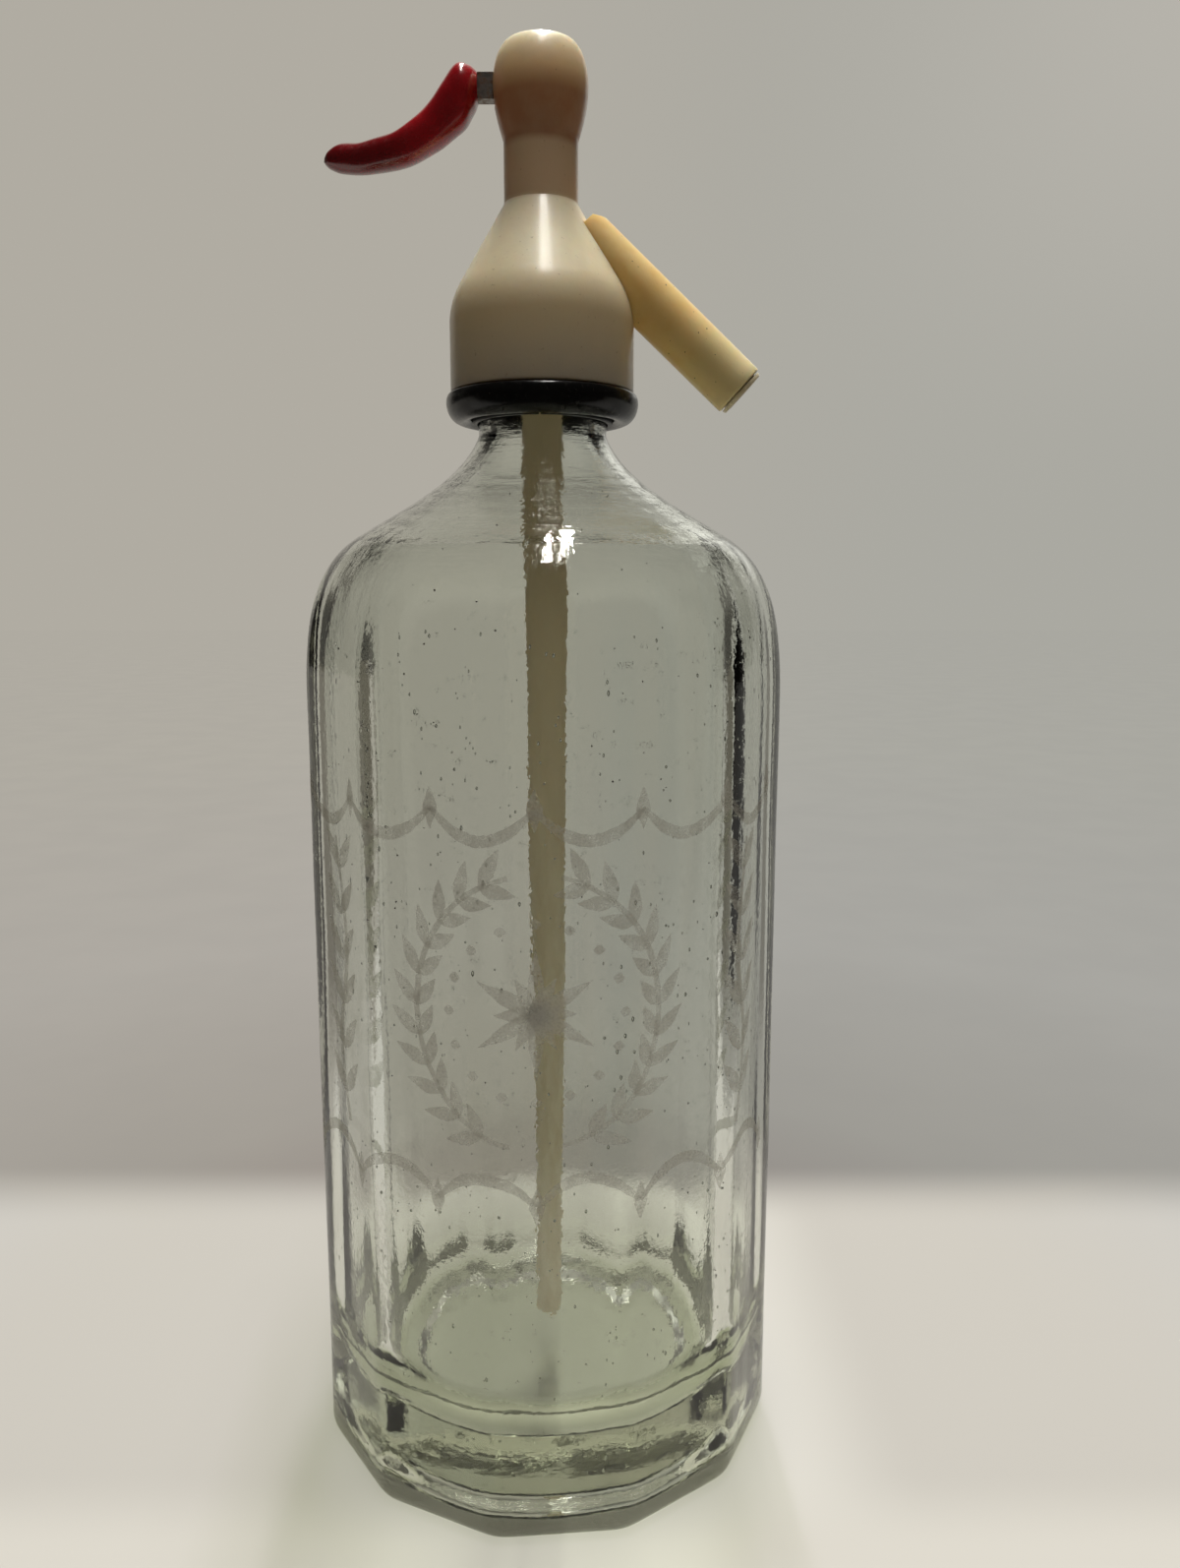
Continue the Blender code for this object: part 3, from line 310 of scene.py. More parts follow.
def spout_material():
    """Amber plastic with dark specks, paler towards its end."""
    made, tree = start_material("amber_spout_plastic")
    place = object_coords(tree)
    cloud = noise(tree, place, 6.0 * MM, 4.0)
    colour = mix(tree, map_range(tree, cloud, 0.3, 0.7), (0.98, 0.68, 0.28), (0.95, 0.61, 0.22))
    reach = add(tree, "SeparateXYZ", {"Vector": place}).outputs["X"]
    colour = mix(tree, map_range(tree, reach, 26 * MM, 46 * MM, 0.0, 0.8), colour, (0.96, 0.77, 0.45))
    speck = noise(tree, place, 1.1 * MM, 1.0)
    colour = mix(tree, map_range(tree, speck, 0.74, 0.78), colour, (0.13, 0.07, 0.03))
    rough = map_range(tree, noise(tree, place, 1.8 * MM, 4.0, 0.65), 0.3, 0.7, 0.45, 0.60)
    shader = add(tree, "BsdfPrincipled", {
        "Base Color": colour, "Roughness": rough, "IOR": 1.5,
        "Normal": bump(tree, noise(tree, place, 2.0 * MM, 3.0), 0.05 * MM),
        "Subsurface Weight": 0.4, "Subsurface Scale": 1.0, "Subsurface Radius": (0.0040, 0.0026, 0.0014),
        "Coat Weight": 0.5, "Coat Roughness": 0.25, "Coat IOR": 1.45,
    })
    close(tree, shader.outputs[0])
    return made


def liner_material():
    """Thin grey translucent sleeve in the spout's end."""
    made, tree = start_material("grey_liner_plastic")
    place = object_coords(tree)
    tone = noise(tree, place, 1.5 * MM, 3.0)
    colour = mix(tree, tone, (0.86, 0.77, 0.54), (0.74, 0.65, 0.44))
    shader = add(tree, "BsdfPrincipled", {
        "Base Color": colour, "Roughness": map_range(tree, tone, 0.3, 0.7, 0.15, 0.30), "IOR": 1.49,
        "Transmission Weight": 0.15, "Normal": bump(tree, tone, 0.05 * MM),
    })
    close(tree, shader.outputs[0])
    return made


def grip_material():
    """Glossy red dipped coating, thick and uneven, with painted shade that darkens it towards the lower tip."""
    made, tree = start_material("red_dipped_coating")
    place = object_coords(tree)
    cloud = noise(tree, place, 7.0 * MM, 3.0)
    along = add(tree, "SeparateXYZ", {"Vector": place}).outputs["X"]
    # Painted shade: darker towards the tip, which hangs lower, and brighter near the mouth at the top.
    colour = mix(tree, map_range(tree, along, -34 * MM, -21 * MM), (0.17, 0.001, 0.004), (0.44, 0.004, 0.011))
    colour = mix(tree, map_range(tree, cloud, 0.3, 0.7, 0.0, 0.5), colour, (0.20, 0.001, 0.005))
    dust = noise(tree, place, 0.7 * MM, 3.0, 0.65)
    colour = mix(tree, map_range(tree, dust, 0.68, 0.78, 0.0, 0.12), colour, (0.45, 0.20, 0.18))
    rough = map_range(tree, noise(tree, place, 1.4 * MM, 4.0, 0.6), 0.3, 0.75, 0.16, 0.34)
    shader = add(tree, "BsdfPrincipled", {
        "Base Color": colour, "Roughness": rough, "IOR": 1.5, "Coat Weight": 0.8, "Coat Roughness": 0.16,
        "Normal": bump(tree, noise(tree, place, 3.5 * MM, 2.0), 0.06 * MM),
    })
    close(tree, shader.outputs[0])
    return made


def black_material(name, shine):
    """Black moulded plastic with fine scuffs."""
    made, tree = start_material(name)
    place = object_coords(tree)
    scuff = noise(tree, place, 1.0 * MM, 4.0, 0.65)
    colour = mix(tree, map_range(tree, scuff, 0.55, 0.75), (0.004, 0.004, 0.004), (0.016, 0.015, 0.014))
    rough = map_range(tree, scuff, 0.3, 0.7, shine, shine + 0.16)
    shader = add(tree, "BsdfPrincipled", {
        "Base Color": colour, "Roughness": rough, "IOR": 1.5, "Specular IOR Level": 0.3,
        "Normal": bump(tree, noise(tree, place, 2.5 * MM, 3.0), 0.05 * MM),
    })
    close(tree, shader.outputs[0])
    return made


def tube_material():
    """Dull cream plastic tube, faintly stained along its length."""
    made, tree = start_material("cream_tube_plastic")
    place = object_coords(tree)
    stain = noise(tree, place, 3.0 * MM, 4.0, 0.6, (1.0, 1.0, 0.25))
    colour = mix(tree, map_range(tree, stain, 0.3, 0.7), (0.90, 0.84, 0.68), (0.78, 0.70, 0.52))
    height = add(tree, "SeparateXYZ", {"Vector": place}).outputs["Z"]
    colour = mix(tree, map_range(tree, height, 90 * MM, 190 * MM), colour, (0.94, 0.82, 0.58))
    shader = add(tree, "BsdfPrincipled", {
        "Base Color": colour, "Roughness": map_range(tree, stain, 0.3, 0.7, 0.35, 0.55), "IOR": 1.5,
        "Normal": bump(tree, noise(tree, place, 1.2 * MM, 3.0), 0.05 * MM), "Specular IOR Level": 0.15,
        "Subsurface Weight": 0.2, "Subsurface Scale": 1.0, "Subsurface Radius": (0.002, 0.0015, 0.001),
    })
    close(tree, shader.outputs[0])
    return made


def metal_material(name, colour, stain, rough):
    """Worn metal with stains in random blotches."""
    made, tree = start_material(name)
    place = object_coords(tree)
    blot = noise(tree, place, 1.2 * MM, 5.0, 0.65)
    share = map_range(tree, blot, 0.42, 0.66)
    tone = mix(tree, share, colour, stain)
    shader = add(tree, "BsdfPrincipled", {
        "Base Color": tone, "Metallic": map_range(tree, blot, 0.45, 0.70, 1.0, 0.45),
        "Roughness": map_range(tree, blot, 0.35, 0.65, rough, rough + 0.3),
        "Normal": bump(tree, blot, 0.04 * MM),
    })
    close(tree, shader.outputs[0])
    return made


def rubber_material(name, colour):
    """Matt rubber with a slight bloom."""
    made, tree = start_material(name)
    place = object_coords(tree)
    bloom = noise(tree, place, 0.8 * MM, 4.0, 0.65)
    tone = mix(tree, map_range(tree, bloom, 0.45, 0.75), colour, tuple(min(1.0, c * 2.2) for c in colour))
    shader = add(tree, "BsdfPrincipled", {
        "Base Color": tone, "Roughness": map_range(tree, bloom, 0.3, 0.7, 0.55, 0.75), "IOR": 1.5,
        "Normal": bump(tree, bloom, 0.03 * MM),
    })
    close(tree, shader.outputs[0])
    return made


def etched_material():
    """Frosted marks worn thin in places, over the clear glass."""
    made, tree = start_material("frosted_etching")
    place = object_coords(tree)
    wear = noise(tree, place, 4.0 * MM, 4.0, 0.6)
    grain = noise(tree, place, 0.5 * MM, 3.0, 0.6)
    cover = map_range(tree, wear, 0.36, 0.60, 0.30, 0.62)
    cover = math_node(tree, "MULTIPLY", cover, map_range(tree, grain, 0.3, 0.6, 0.75, 1.0))
    frost = add(tree, "BsdfPrincipled", {
        "Base Color": mix(tree, grain, (0.62, 0.62, 0.56), (0.72, 0.72, 0.66)),
        "Roughness": 0.6, "IOR": 1.4, "Normal": bump(tree, grain, 0.03 * MM),
    })
    clear = add(tree, "BsdfTransparent", {"Color": (1.0, 1.0, 1.0)})
    both = add(tree, "MixShader", {0: cover, 1: clear.outputs[0], 2: frost.outputs[0]})
    close(tree, both.outputs[0])
    return made


# ---------------------------------------------------------------- mesh code

def bezier(start, start_handle, end_handle, end, steps):
    """Points along one smooth stretch of an outline, both ends included."""
    points = []
    for step in range(steps + 1):
        t = step / steps
        u = 1 - t
        points.append(tuple(
            u ** 3 * a + 3 * u * u * t * b + 3 * u * t * t * c + t ** 3 * d
            for a, b, c, d in zip(start, start_handle, end_handle, end)
        ))
    return points


def arc(centre_r, centre_z, radius, start_deg, end_deg, steps):
    """Points along a round stretch of an outline, both ends included."""
    points = []
    for step in range(steps + 1):
        angle = math.radians(start_deg + (end_deg - start_deg) * step / steps)
        points.append((centre_r + radius * math.cos(angle), centre_z + radius * math.sin(angle)))
    return points


def spread(outline, pitch, fine_zone=(0.0, 0.0), fine_pitch=1.0):
    """The same outline with points no further apart than pitch, or than fine_pitch in a zone of heights."""
    made = [outline[0]]
    for (r0, z0), (r1, z1) in zip(outline, outline[1:]):
        step = fine_pitch if fine_zone[0] < z0 < fine_zone[1] else pitch
        count = max(1, math.ceil(math.hypot(r1 - r0, z1 - z0) / step))
        made += [(r0 + (r1 - r0) * i / count, z0 + (z1 - z0) * i / count) for i in range(1, count + 1)]
    return made


def grid_object(name, rings, material, sharp_deg=30.0, loop=False, ends=(None, None)):
    """Bridge rings of as many points each; an end point closes that end, loop joins the last to the first."""
    count = len(rings[0])
    verts = np.concatenate([np.asarray(ring, float) for ring in rings])
    index = np.arange(len(rings) * count).reshape(len(rings), count)
    low = index if loop else index[:-1]
    high = np.roll(index, -1, axis=0) if loop else index[1:]
    quads = np.stack([low, np.roll(low, -1, axis=1), np.roll(high, -1, axis=1), high], axis=-1).reshape(-1, 4)
    faces = quads.tolist()
    points = verts.tolist()
    for point, ring, turn in ((ends[0], index[0], True), (ends[1], index[-1], False)):
        if point is not None:
            points.append(tuple(point))
            centre = len(points) - 1
            for a, b in zip(ring.tolist(), np.roll(ring, -1).tolist()):
                faces.append((b, a, centre) if turn else (a, b, centre))
    return mesh_object(name, points, faces, material, sharp_deg)


def mesh_object(name, points, faces, material, sharp_deg=30.0, outward=True):
    mesh = bpy.data.meshes.new(name)
    mesh.from_pydata(points, [], faces)
    if outward:
        made = bmesh.new()
        made.from_mesh(mesh)
        bmesh.ops.remove_doubles(made, verts=made.verts, dist=0.0005 * MM)
        bmesh.ops.recalc_face_normals(made, faces=made.faces)
        made.to_mesh(mesh)
        made.free()
    mesh.shade_smooth()
    if sharp_deg is not None:
        mesh.set_sharp_from_angle(angle=math.radians(sharp_deg))
    mesh.materials.append(material)
    piece = bpy.data.objects.new(name, mesh)
    bpy.context.scene.collection.objects.link(piece)
    return piece


def turned(name, outline, material, sides=96, closed=True, sharp_deg=30.0):
    """Spin an outline of (radius, height) points about the Z axis."""
    angles = np.arange(sides) * math.tau / sides
    rings, ends = [], [None, None]
    for place, (radius, height) in enumerate(outline):
        if radius < 1e-7:
            ends[0 if place == 0 else 1] = (0.0, 0.0, height)
            continue
        rings.append(np.stack([radius * np.sin(angles), -radius * np.cos(angles), np.full(sides, height)], axis=1))
    return grid_object(name, rings, material, sharp_deg, loop=closed, ends=tuple(ends))


def place_piece(piece, matrix):
    """Move a piece's mesh, with its object left at the origin."""
    piece.data.transform(matrix)
    return piece


def cut(piece, cutter):
    """Take a guide solid away from a piece, and apply it."""
    modifier = piece.modifiers.new("cut", "BOOLEAN")
    modifier.operation = "DIFFERENCE"
    modifier.solver = "EXACT"
    modifier.object = cutter
    bpy.context.view_layer.update()
    graph = bpy.context.evaluated_depsgraph_get()
    mesh = bpy.data.meshes.new_from_object(piece.evaluated_get(graph))
    piece.modifiers.clear()
    piece.data = mesh
    bpy.data.objects.remove(cutter, do_unlink=True)


def box(name, low, high):
    points = [(x, y, z) for x in (low[0], high[0]) for y in (low[1], high[1]) for z in (low[2], high[2])]
    faces = [(0, 1, 3, 2), (4, 6, 7, 5), (0, 4, 5, 1), (2, 3, 7, 6), (0, 2, 6, 4), (1, 5, 7, 3)]
    return mesh_object(name, points, faces, GUIDE, None)


# ---------------------------------------------------------------- glass bottle

def wave_terms(seed, count, rings, lengths, size):
    """Random sine waves round and along the glass: (turns, waves per metre, phase, height)."""
    chance = random.Random(seed)
    terms = []
    for _ in range(count):
        turns = chance.randint(*rings)
        length = math.exp(chance.uniform(math.log(lengths[0]), math.log(lengths[1])))
        pace = math.tau / length * chance.choice((-1, 1))
        phase = chance.uniform(0, math.tau)
        slope = math.hypot(turns / BODY_CORNER_R, pace)
        terms.append((turns, pace, phase, size / slope))
    return terms


OUTER_WAVES = wave_terms(3, 12, (0, 8), (40 * MM, 160 * MM), 0.0018)
INNER_WAVES = wave_terms(5, 16, (0, 10), (50 * MM, 160 * MM), 0.0024)
STREAKS = wave_terms(8, 18, (20, 70), (200 * MM, 700 * MM), 0.0060)


def waves(terms, azimuth, height):
    total = 0.0
    for turns, pace, phase, size in terms:
        total = total + size * np.sin(turns * azimuth + pace * height + phase)
    return total


def facet_share(height):
    share = np.clip(1 - (height - FACET_FADE_START) / FACET_FADE_H, 0, 1)
    return share * share * (3 - 2 * share)


def facet_reach(azimuth, power=CORNER_POWER):
    """Flat sides with softly rounded corners: the share of the corner radius at an azimuth."""
    half = math.pi / FACETS
    centres = math.radians(FACET_TURN_DEG) + half + np.arange(FACETS) * 2 * half
    facing = np.clip(np.cos(azimuth[:, None] - centres[None, :]), 0.05, 1)
    return math.cos(half) / (facing ** power).sum(axis=1) ** (1 / power)


def bottle_outer():
    heel_r = BODY_CORNER_R - HEEL_IN
    heel = bezier(
        (heel_r - HEEL_IN, 0), (heel_r, 0), (BODY_CORNER_R, HEEL_H / 4), (BODY_CORNER_R, HEEL_H), 10,
    )
    handle = SHOULDER_H / 2
    lean = 0.57 * (BODY_CORNER_R - SHOULDER_END_R)
    shoulder = bezier(
        (BODY_CORNER_R, SHOULDER_Z), (BODY_CORNER_R, SHOULDER_Z + handle),
        (SHOULDER_END_R + 1.3 * lean, break_z - 0.18 * SHOULDER_H), (SHOULDER_END_R, break_z), 30,
    )
    run = SHOULDER_END_R - NECK_R
    neck = bezier(
        (SHOULDER_END_R, break_z), (SHOULDER_END_R - 0.30 * run, break_z + 0.241 * NECK_CURVE_H),
        (NECK_R + 0.14 * run, neck_z - 0.46 * NECK_CURVE_H), (NECK_R, neck_z), 34,
    )
    bead = [(NECK_R, bead_z)] + arc(bead_r - 0.6 * MM, bead_z + 0.6 * MM, 0.6 * MM, -90, 0, 4)
    bead += arc(bead_r - LIP_ROUND, lip_z - LIP_ROUND, LIP_ROUND, 0, 90, 6)
    return heel + shoulder + neck[1:] + bead


def bottle_inner():
    wall_r = BODY_CORNER_R - BODY_WALL
    slope_r = SHOULDER_END_R - SHOULDER_WALL * math.sin(cone_angle)
    slope_z = break_z - SHOULDER_WALL * math.cos(cone_angle)
    run = slope_r - NECK_BORE_R
    neck = bezier(
        (NECK_BORE_R, neck_z), (NECK_BORE_R + 0.14 * run, neck_z - 0.46 * NECK_CURVE_H),
        (slope_r - 0.45 * run, slope_z + 0.36 * NECK_CURVE_H), (slope_r, slope_z), 26,
    )
    lean = wall_r - slope_r
    shoulder = bezier(
        (slope_r, slope_z), (slope_r + 0.75 * lean, slope_z - 0.18 * SHOULDER_H),
        (wall_r, SHOULDER_Z + SHOULDER_H / 2.2), (wall_r, SHOULDER_Z), 26,
    )
    floor = arc(wall_r - FLOOR_ROUND, BASE_THICK + FLOOR_ROUND, FLOOR_ROUND, 0, -90, 26)
    lip = arc(NECK_BORE_R + LIP_ROUND / 2, lip_z - LIP_ROUND / 2, LIP_ROUND / 2, 90, 180, 4)
    return lip + neck + shoulder[1:] + floor


SEAM_Z, SEAM_H, SEAM_OUT = 201.0 * MM, 0.9 * MM, 0.035 * MM
CHILL_ZONE = (195 * MM, 219 * MM)
CHILL_DEPTH = 0.034 * MM


def outer_radius(azimuth, radius, height):
    """The glass's outside at azimuths, for one outline point."""
    share = facet_share(height)
    reach = radius * (1 - share + share * facet_reach(azimuth))
    calm = min(1.0, max(0.0, (neck_z - 4 * MM - height) / (20 * MM)))
    calm *= min(1.0, height / (6 * MM))
    ripple = waves(OUTER_WAVES, azimuth, height) + 0.5 * waves(STREAKS, azimuth, height)
    wander = 0.5 * MM * np.sin(3 * azimuth + 0.7) + 0.25 * MM * np.sin(11 * azimuth)
    strength = 0.45 + 0.35 * np.sin(2 * azimuth + 0.5) + 0.35 * np.sin(17 * azimuth) * np.sin(5 * azimuth)
    seam = SEAM_OUT * strength * np.exp(-((height - SEAM_Z - wander) / SEAM_H) ** 2)
    return reach - 0.10 * MM * calm + calm * (ripple + seam)


def inner_radius(azimuth, radius, height):
    """The glass's inside at azimuths: it follows the flat sides, less so near the floor."""
    flat = facet_share(height) * np.interp(height, [BASE_THICK, 34 * MM, 60 * MM, 150 * MM], [0.0, 0.35, 0.45, 0.95])
    calm = min(1.0, max(0.0, (neck_z - height) / (12 * MM)))
    ripple = calm * (waves(INNER_WAVES, azimuth, height) + 0.6 * waves(STREAKS, azimuth + 1.0, height))
    middle = sum(CHILL_ZONE) / 2
    near = max(0.0, 1 - abs(height - middle) / (CHILL_ZONE[1] - middle))
    rings = np.sin(height / (0.36 * MM) + 1.6 * np.sin(3 * azimuth + 1.0)) + np.sin(height / (0.55 * MM) - 2.1 * np.sin(5 * azimuth))
    ripple = ripple + CHILL_DEPTH * min(1.0, 2 * near) * rings
    return radius * (1 - flat + flat * facet_reach(azimuth, INNER_CORNER_POWER)) + ripple


def glass_bottle():
    azimuth = np.arange(GLASS_SIDES) * math.tau / GLASS_SIDES
    direction = np.stack([np.sin(azimuth), -np.cos(azimuth)], axis=1)

    def ring(reach, height):
        height = np.broadcast_to(height, azimuth.shape)
        return np.column_stack([direction * reach[:, None], height])

    outer = bottle_outer()
    contact_r = outer[0][0] - CONTACT_RING_W
    plain = np.ones(GLASS_SIDES)
    rings = [ring(plain * (contact_r - PUSH_UP_SLOPE) * share, PUSH_UP_H) for share in (0.25, 0.5, 0.75, 1.0)]
    rings += [ring(plain * r, z) for r, z in bezier(
        (contact_r - PUSH_UP_SLOPE, PUSH_UP_H), (contact_r - PUSH_UP_SLOPE * 0.6, PUSH_UP_H),
        (contact_r - PUSH_UP_SLOPE * 0.4, 0), (contact_r, 0), 8)[1:]]
    rings += [ring(outer_radius(azimuth, r, z), z) for r, z in spread(outer, 1.7 * MM)]
    inner = spread(bottle_inner(), 1.7 * MM, CHILL_ZONE, 0.45 * MM)
    chance = random.Random(21)
    lumps = [(chance.uniform(-24, 24) * MM, chance.uniform(-24, 24) * MM, chance.uniform(3, 7) * MM,
              chance.uniform(-0.18, 0.26) * MM) for _ in range(34)]
    for _ in range(26):
        turn = math.radians(chance.uniform(-75, 75))
        reach = chance.uniform(22, 27) * MM
        lumps.append((reach * math.sin(turn), reach * math.cos(turn), chance.uniform(1.3, 2.4) * MM,
                      chance.uniform(-0.35, 0.5) * MM))

    def floor_lift(points):
        lift = np.zeros(len(points))
        for x, y, size, rise in lumps:
            lift += rise * np.exp(-((points[:, 0] - x) ** 2 + (points[:, 1] - y) ** 2) / size ** 2)
        return lift

    for r, z in inner:
        made = ring(inner_radius(azimuth, r, z), z)
        if z < BASE_THICK + FLOOR_ROUND:
            made[:, 2] += floor_lift(made) * min(1.0, (BASE_THICK + FLOOR_ROUND - z) / (12 * MM))
        rings.append(made)
    floor_r = inner[-1][0]
    for share in (0.93, 0.86, 0.79, 0.72, 0.65, 0.58, 0.51, 0.44, 0.37, 0.3, 0.23, 0.16, 0.09):
        made = ring(plain * floor_r * share, BASE_THICK)
        made[:, 2] += floor_lift(made)
        rings.append(made)
    centre = np.array([[0.0, 0.0, BASE_THICK]])
    centre[:, 2] += floor_lift(centre)
    bottle = grid_object("bottle_glass", rings, GLASS, 50.0, ends=((0, 0, PUSH_UP_H), tuple(centre[0])))
    add_seeds(bottle)
    return bottle


def add_seeds(bottle):
    """Small air bubbles inside the glass: closed shells whose faces look inward."""
    chance = random.Random(17)
    unit = bmesh.new()
    bmesh.ops.create_icosphere(unit, subdivisions=1, radius=1)
    shape = np.array([v.co[:] for v in unit.verts])
    shells = [[v.index for v in f.verts][::-1] for f in unit.faces]
    unit.free()
    points, faces = [], []

    def seed(place, size, tall):
        start = len(points)
        for corner in shape * (size, size, size * tall) + place:
            points.append(tuple(corner))
        faces.extend([start + i for i in face] for face in shells)

    wall = BODY_CORNER_R - BODY_WALL
    for _ in range(1500):
        azimuth = chance.uniform(0, math.tau)
        height = chance.uniform(30, 186) * MM
        size = chance.choice((0.13, 0.16, 0.19, 0.23, 0.30)) * MM
        reach = chance.uniform(wall + 1.0 * MM, BODY_CORNER_R * math.cos(math.pi / FACETS) - 0.9 * MM)
        if height > FACET_FADE_START:
            reach = wall + 0.9 * MM - (height - FACET_FADE_START) * 0.10
        seed((reach * math.sin(azimuth), -reach * math.cos(azimuth), height), size, chance.uniform(1, 2.2))
    for _ in range(70):
        azimuth = chance.uniform(0, math.tau)
        reach = math.sqrt(chance.uniform(0.02, 1)) * 36 * MM
        height = chance.uniform(5, 11.5) * MM
        size = chance.choice((0.14, 0.2, 0.28, 0.4)) * MM
        seed((reach * math.sin(azimuth), -reach * math.cos(azimuth), height), size, chance.uniform(0.7, 1.2))
    shells_mesh = bpy.data.meshes.new("seeds")
    shells_mesh.from_pydata(points, [], faces)
    shells_mesh.shade_smooth()
    joined = bmesh.new()
    joined.from_mesh(bottle.data)
    joined.from_mesh(shells_mesh)
    joined.to_mesh(bottle.data)
    joined.free()
    bpy.data.meshes.remove(shells_mesh)


def dust_specks():
    """Fine dark grains on the inside of the glass."""
    chance = random.Random(41)
    unit = bmesh.new()
    bmesh.ops.create_icosphere(unit, subdivisions=1, radius=1)
    shape = np.array([v.co[:] for v in unit.verts])
    shells = [[v.index for v in f.verts] for f in unit.faces]
    unit.free()
    wall = spread(bottle_inner(), 1.7 * MM)[::-1]
    heights, radii = [z for _, z in wall], [r for r, _ in wall]
    points, faces = [], []
    for _ in range(650):
        azimuth = chance.uniform(0, math.tau)
        height = chance.uniform(40, 214) * MM
        size = chance.choice((0.08, 0.10, 0.12, 0.14, 0.19)) * MM
        reach = inner_radius(np.array([azimuth]), np.interp(height, heights, radii), height)[0] - 0.3 * size
        place = (reach * math.sin(azimuth), -reach * math.cos(azimuth), height)
        start = len(points)
        points.extend(map(tuple, shape * (size, size, size * chance.uniform(0.8, 1.6)) + place))
        faces.extend([start + i for i in face] for face in shells)
    return mesh_object("glass_dust_specks", points, faces, DUST, None, outward=False)


# ---------------------------------------------------------------- etched ornament

ORNAMENT_LIFT = 0.05 * MM
ORNAMENT_PITCH = 0.9 * MM


def on_glass(across, height):
    """A point just outside the glass: across is measured round it from the front, to the right."""
    azimuth = np.asarray(across) / BODY_CORNER_R
    reach = outer_radius(azimuth, BODY_CORNER_R, 1.0 * height) if np.isscalar(height) else np.array([
        outer_radius(np.array([a]), BODY_CORNER_R, z)[0] for a, z in zip(azimuth, height)
    ])
    reach = reach + ORNAMENT_LIFT
    return np.column_stack([reach * np.sin(azimuth), -reach * np.cos(azimuth), height])


def stroke(store, path, widths):
    """A frosted stroke along a path of (across, height) points, as wide as widths say at even steps."""
    path = np.array(path, float)
    lengths = np.concatenate([[0], np.cumsum(np.hypot(*np.diff(path, axis=0).T))])
    count = max(3, math.ceil(lengths[-1] / ORNAMENT_PITCH) + 1)
    steps = np.linspace(0, lengths[-1], count)
    centre = np.column_stack([np.interp(steps, lengths, path[:, k]) for k in (0, 1)])
    ahead = np.gradient(centre, axis=0)
    ahead /= np.maximum(np.hypot(*ahead.T), 1e-9)[:, None]
    side = np.column_stack([-ahead[:, 1], ahead[:, 0]])
    width = np.interp(steps / lengths[-1], np.linspace(0, 1, len(widths)), widths)
    points, faces = store
    rows = []
    for share in (-0.5, 0.0, 0.5):
        rough = np.array([store_chance.uniform(-0.09, 0.09) * MM for _ in range(count)]) if share else 0.0
        flat = centre + side * ((width * share) + rough)[:, None] if share else centre
        start = len(points)
        points.extend(map(tuple, on_glass(flat[:, 0], flat[:, 1])))
        rows.append(range(start, start + count))
    for low, high in zip(rows, rows[1:]):
        for i in range(count - 1):
            faces.append((low[i], low[i + 1], high[i + 1], high[i]))


store_chance = random.Random(31)


def curve_path(points, steps=10):
    """A smooth path through points (Catmull-Rom)."""
    points = [points[0]] + list(points) + [points[-1]]
    made = []
    for a, b, c, d in zip(points, points[1:], points[2:], points[3:]):
        for step in range(steps):
            t = step / steps
            made.append(tuple(
                0.5 * (2 * q + (r - p) * t + (2 * p - 5 * q + 4 * r - s) * t * t + (3 * q - p - 3 * r + s) * t ** 3)
                for p, q, r, s in zip(a, b, c, d)
            ))
    made.append(tuple(points[-2]))
    return made


def leaf(store, root, angle_deg, length, width):
    turn = math.radians(angle_deg)
    tip = (root[0] + length * math.cos(turn), root[1] + length * math.sin(turn))
    stroke(store, [root, tip], [0.2 * MM, 0.75 * width, width, 0.85 * width, 0.5 * width, 0.1 * MM])


def disc(store, centre, size):
    stroke(store, [(centre[0] - size / 2, centre[1]), (centre[0] + size / 2, centre[1])],
           [size * 0.15, size * 0.8, size, size * 0.8, size * 0.15])


def star(store, centre, points, reach, waist):
    for index in range(points):
        angle = 90 + 360 * index / points
        turn = math.radians(angle)
        out = reach if index % 2 == 0 else reach * 0.62
        tip = (centre[0] + out * math.cos(turn), centre[1] + out * math.sin(turn))
        stroke(store, [centre, tip], [waist, waist * 0.9, 0.1 * MM])


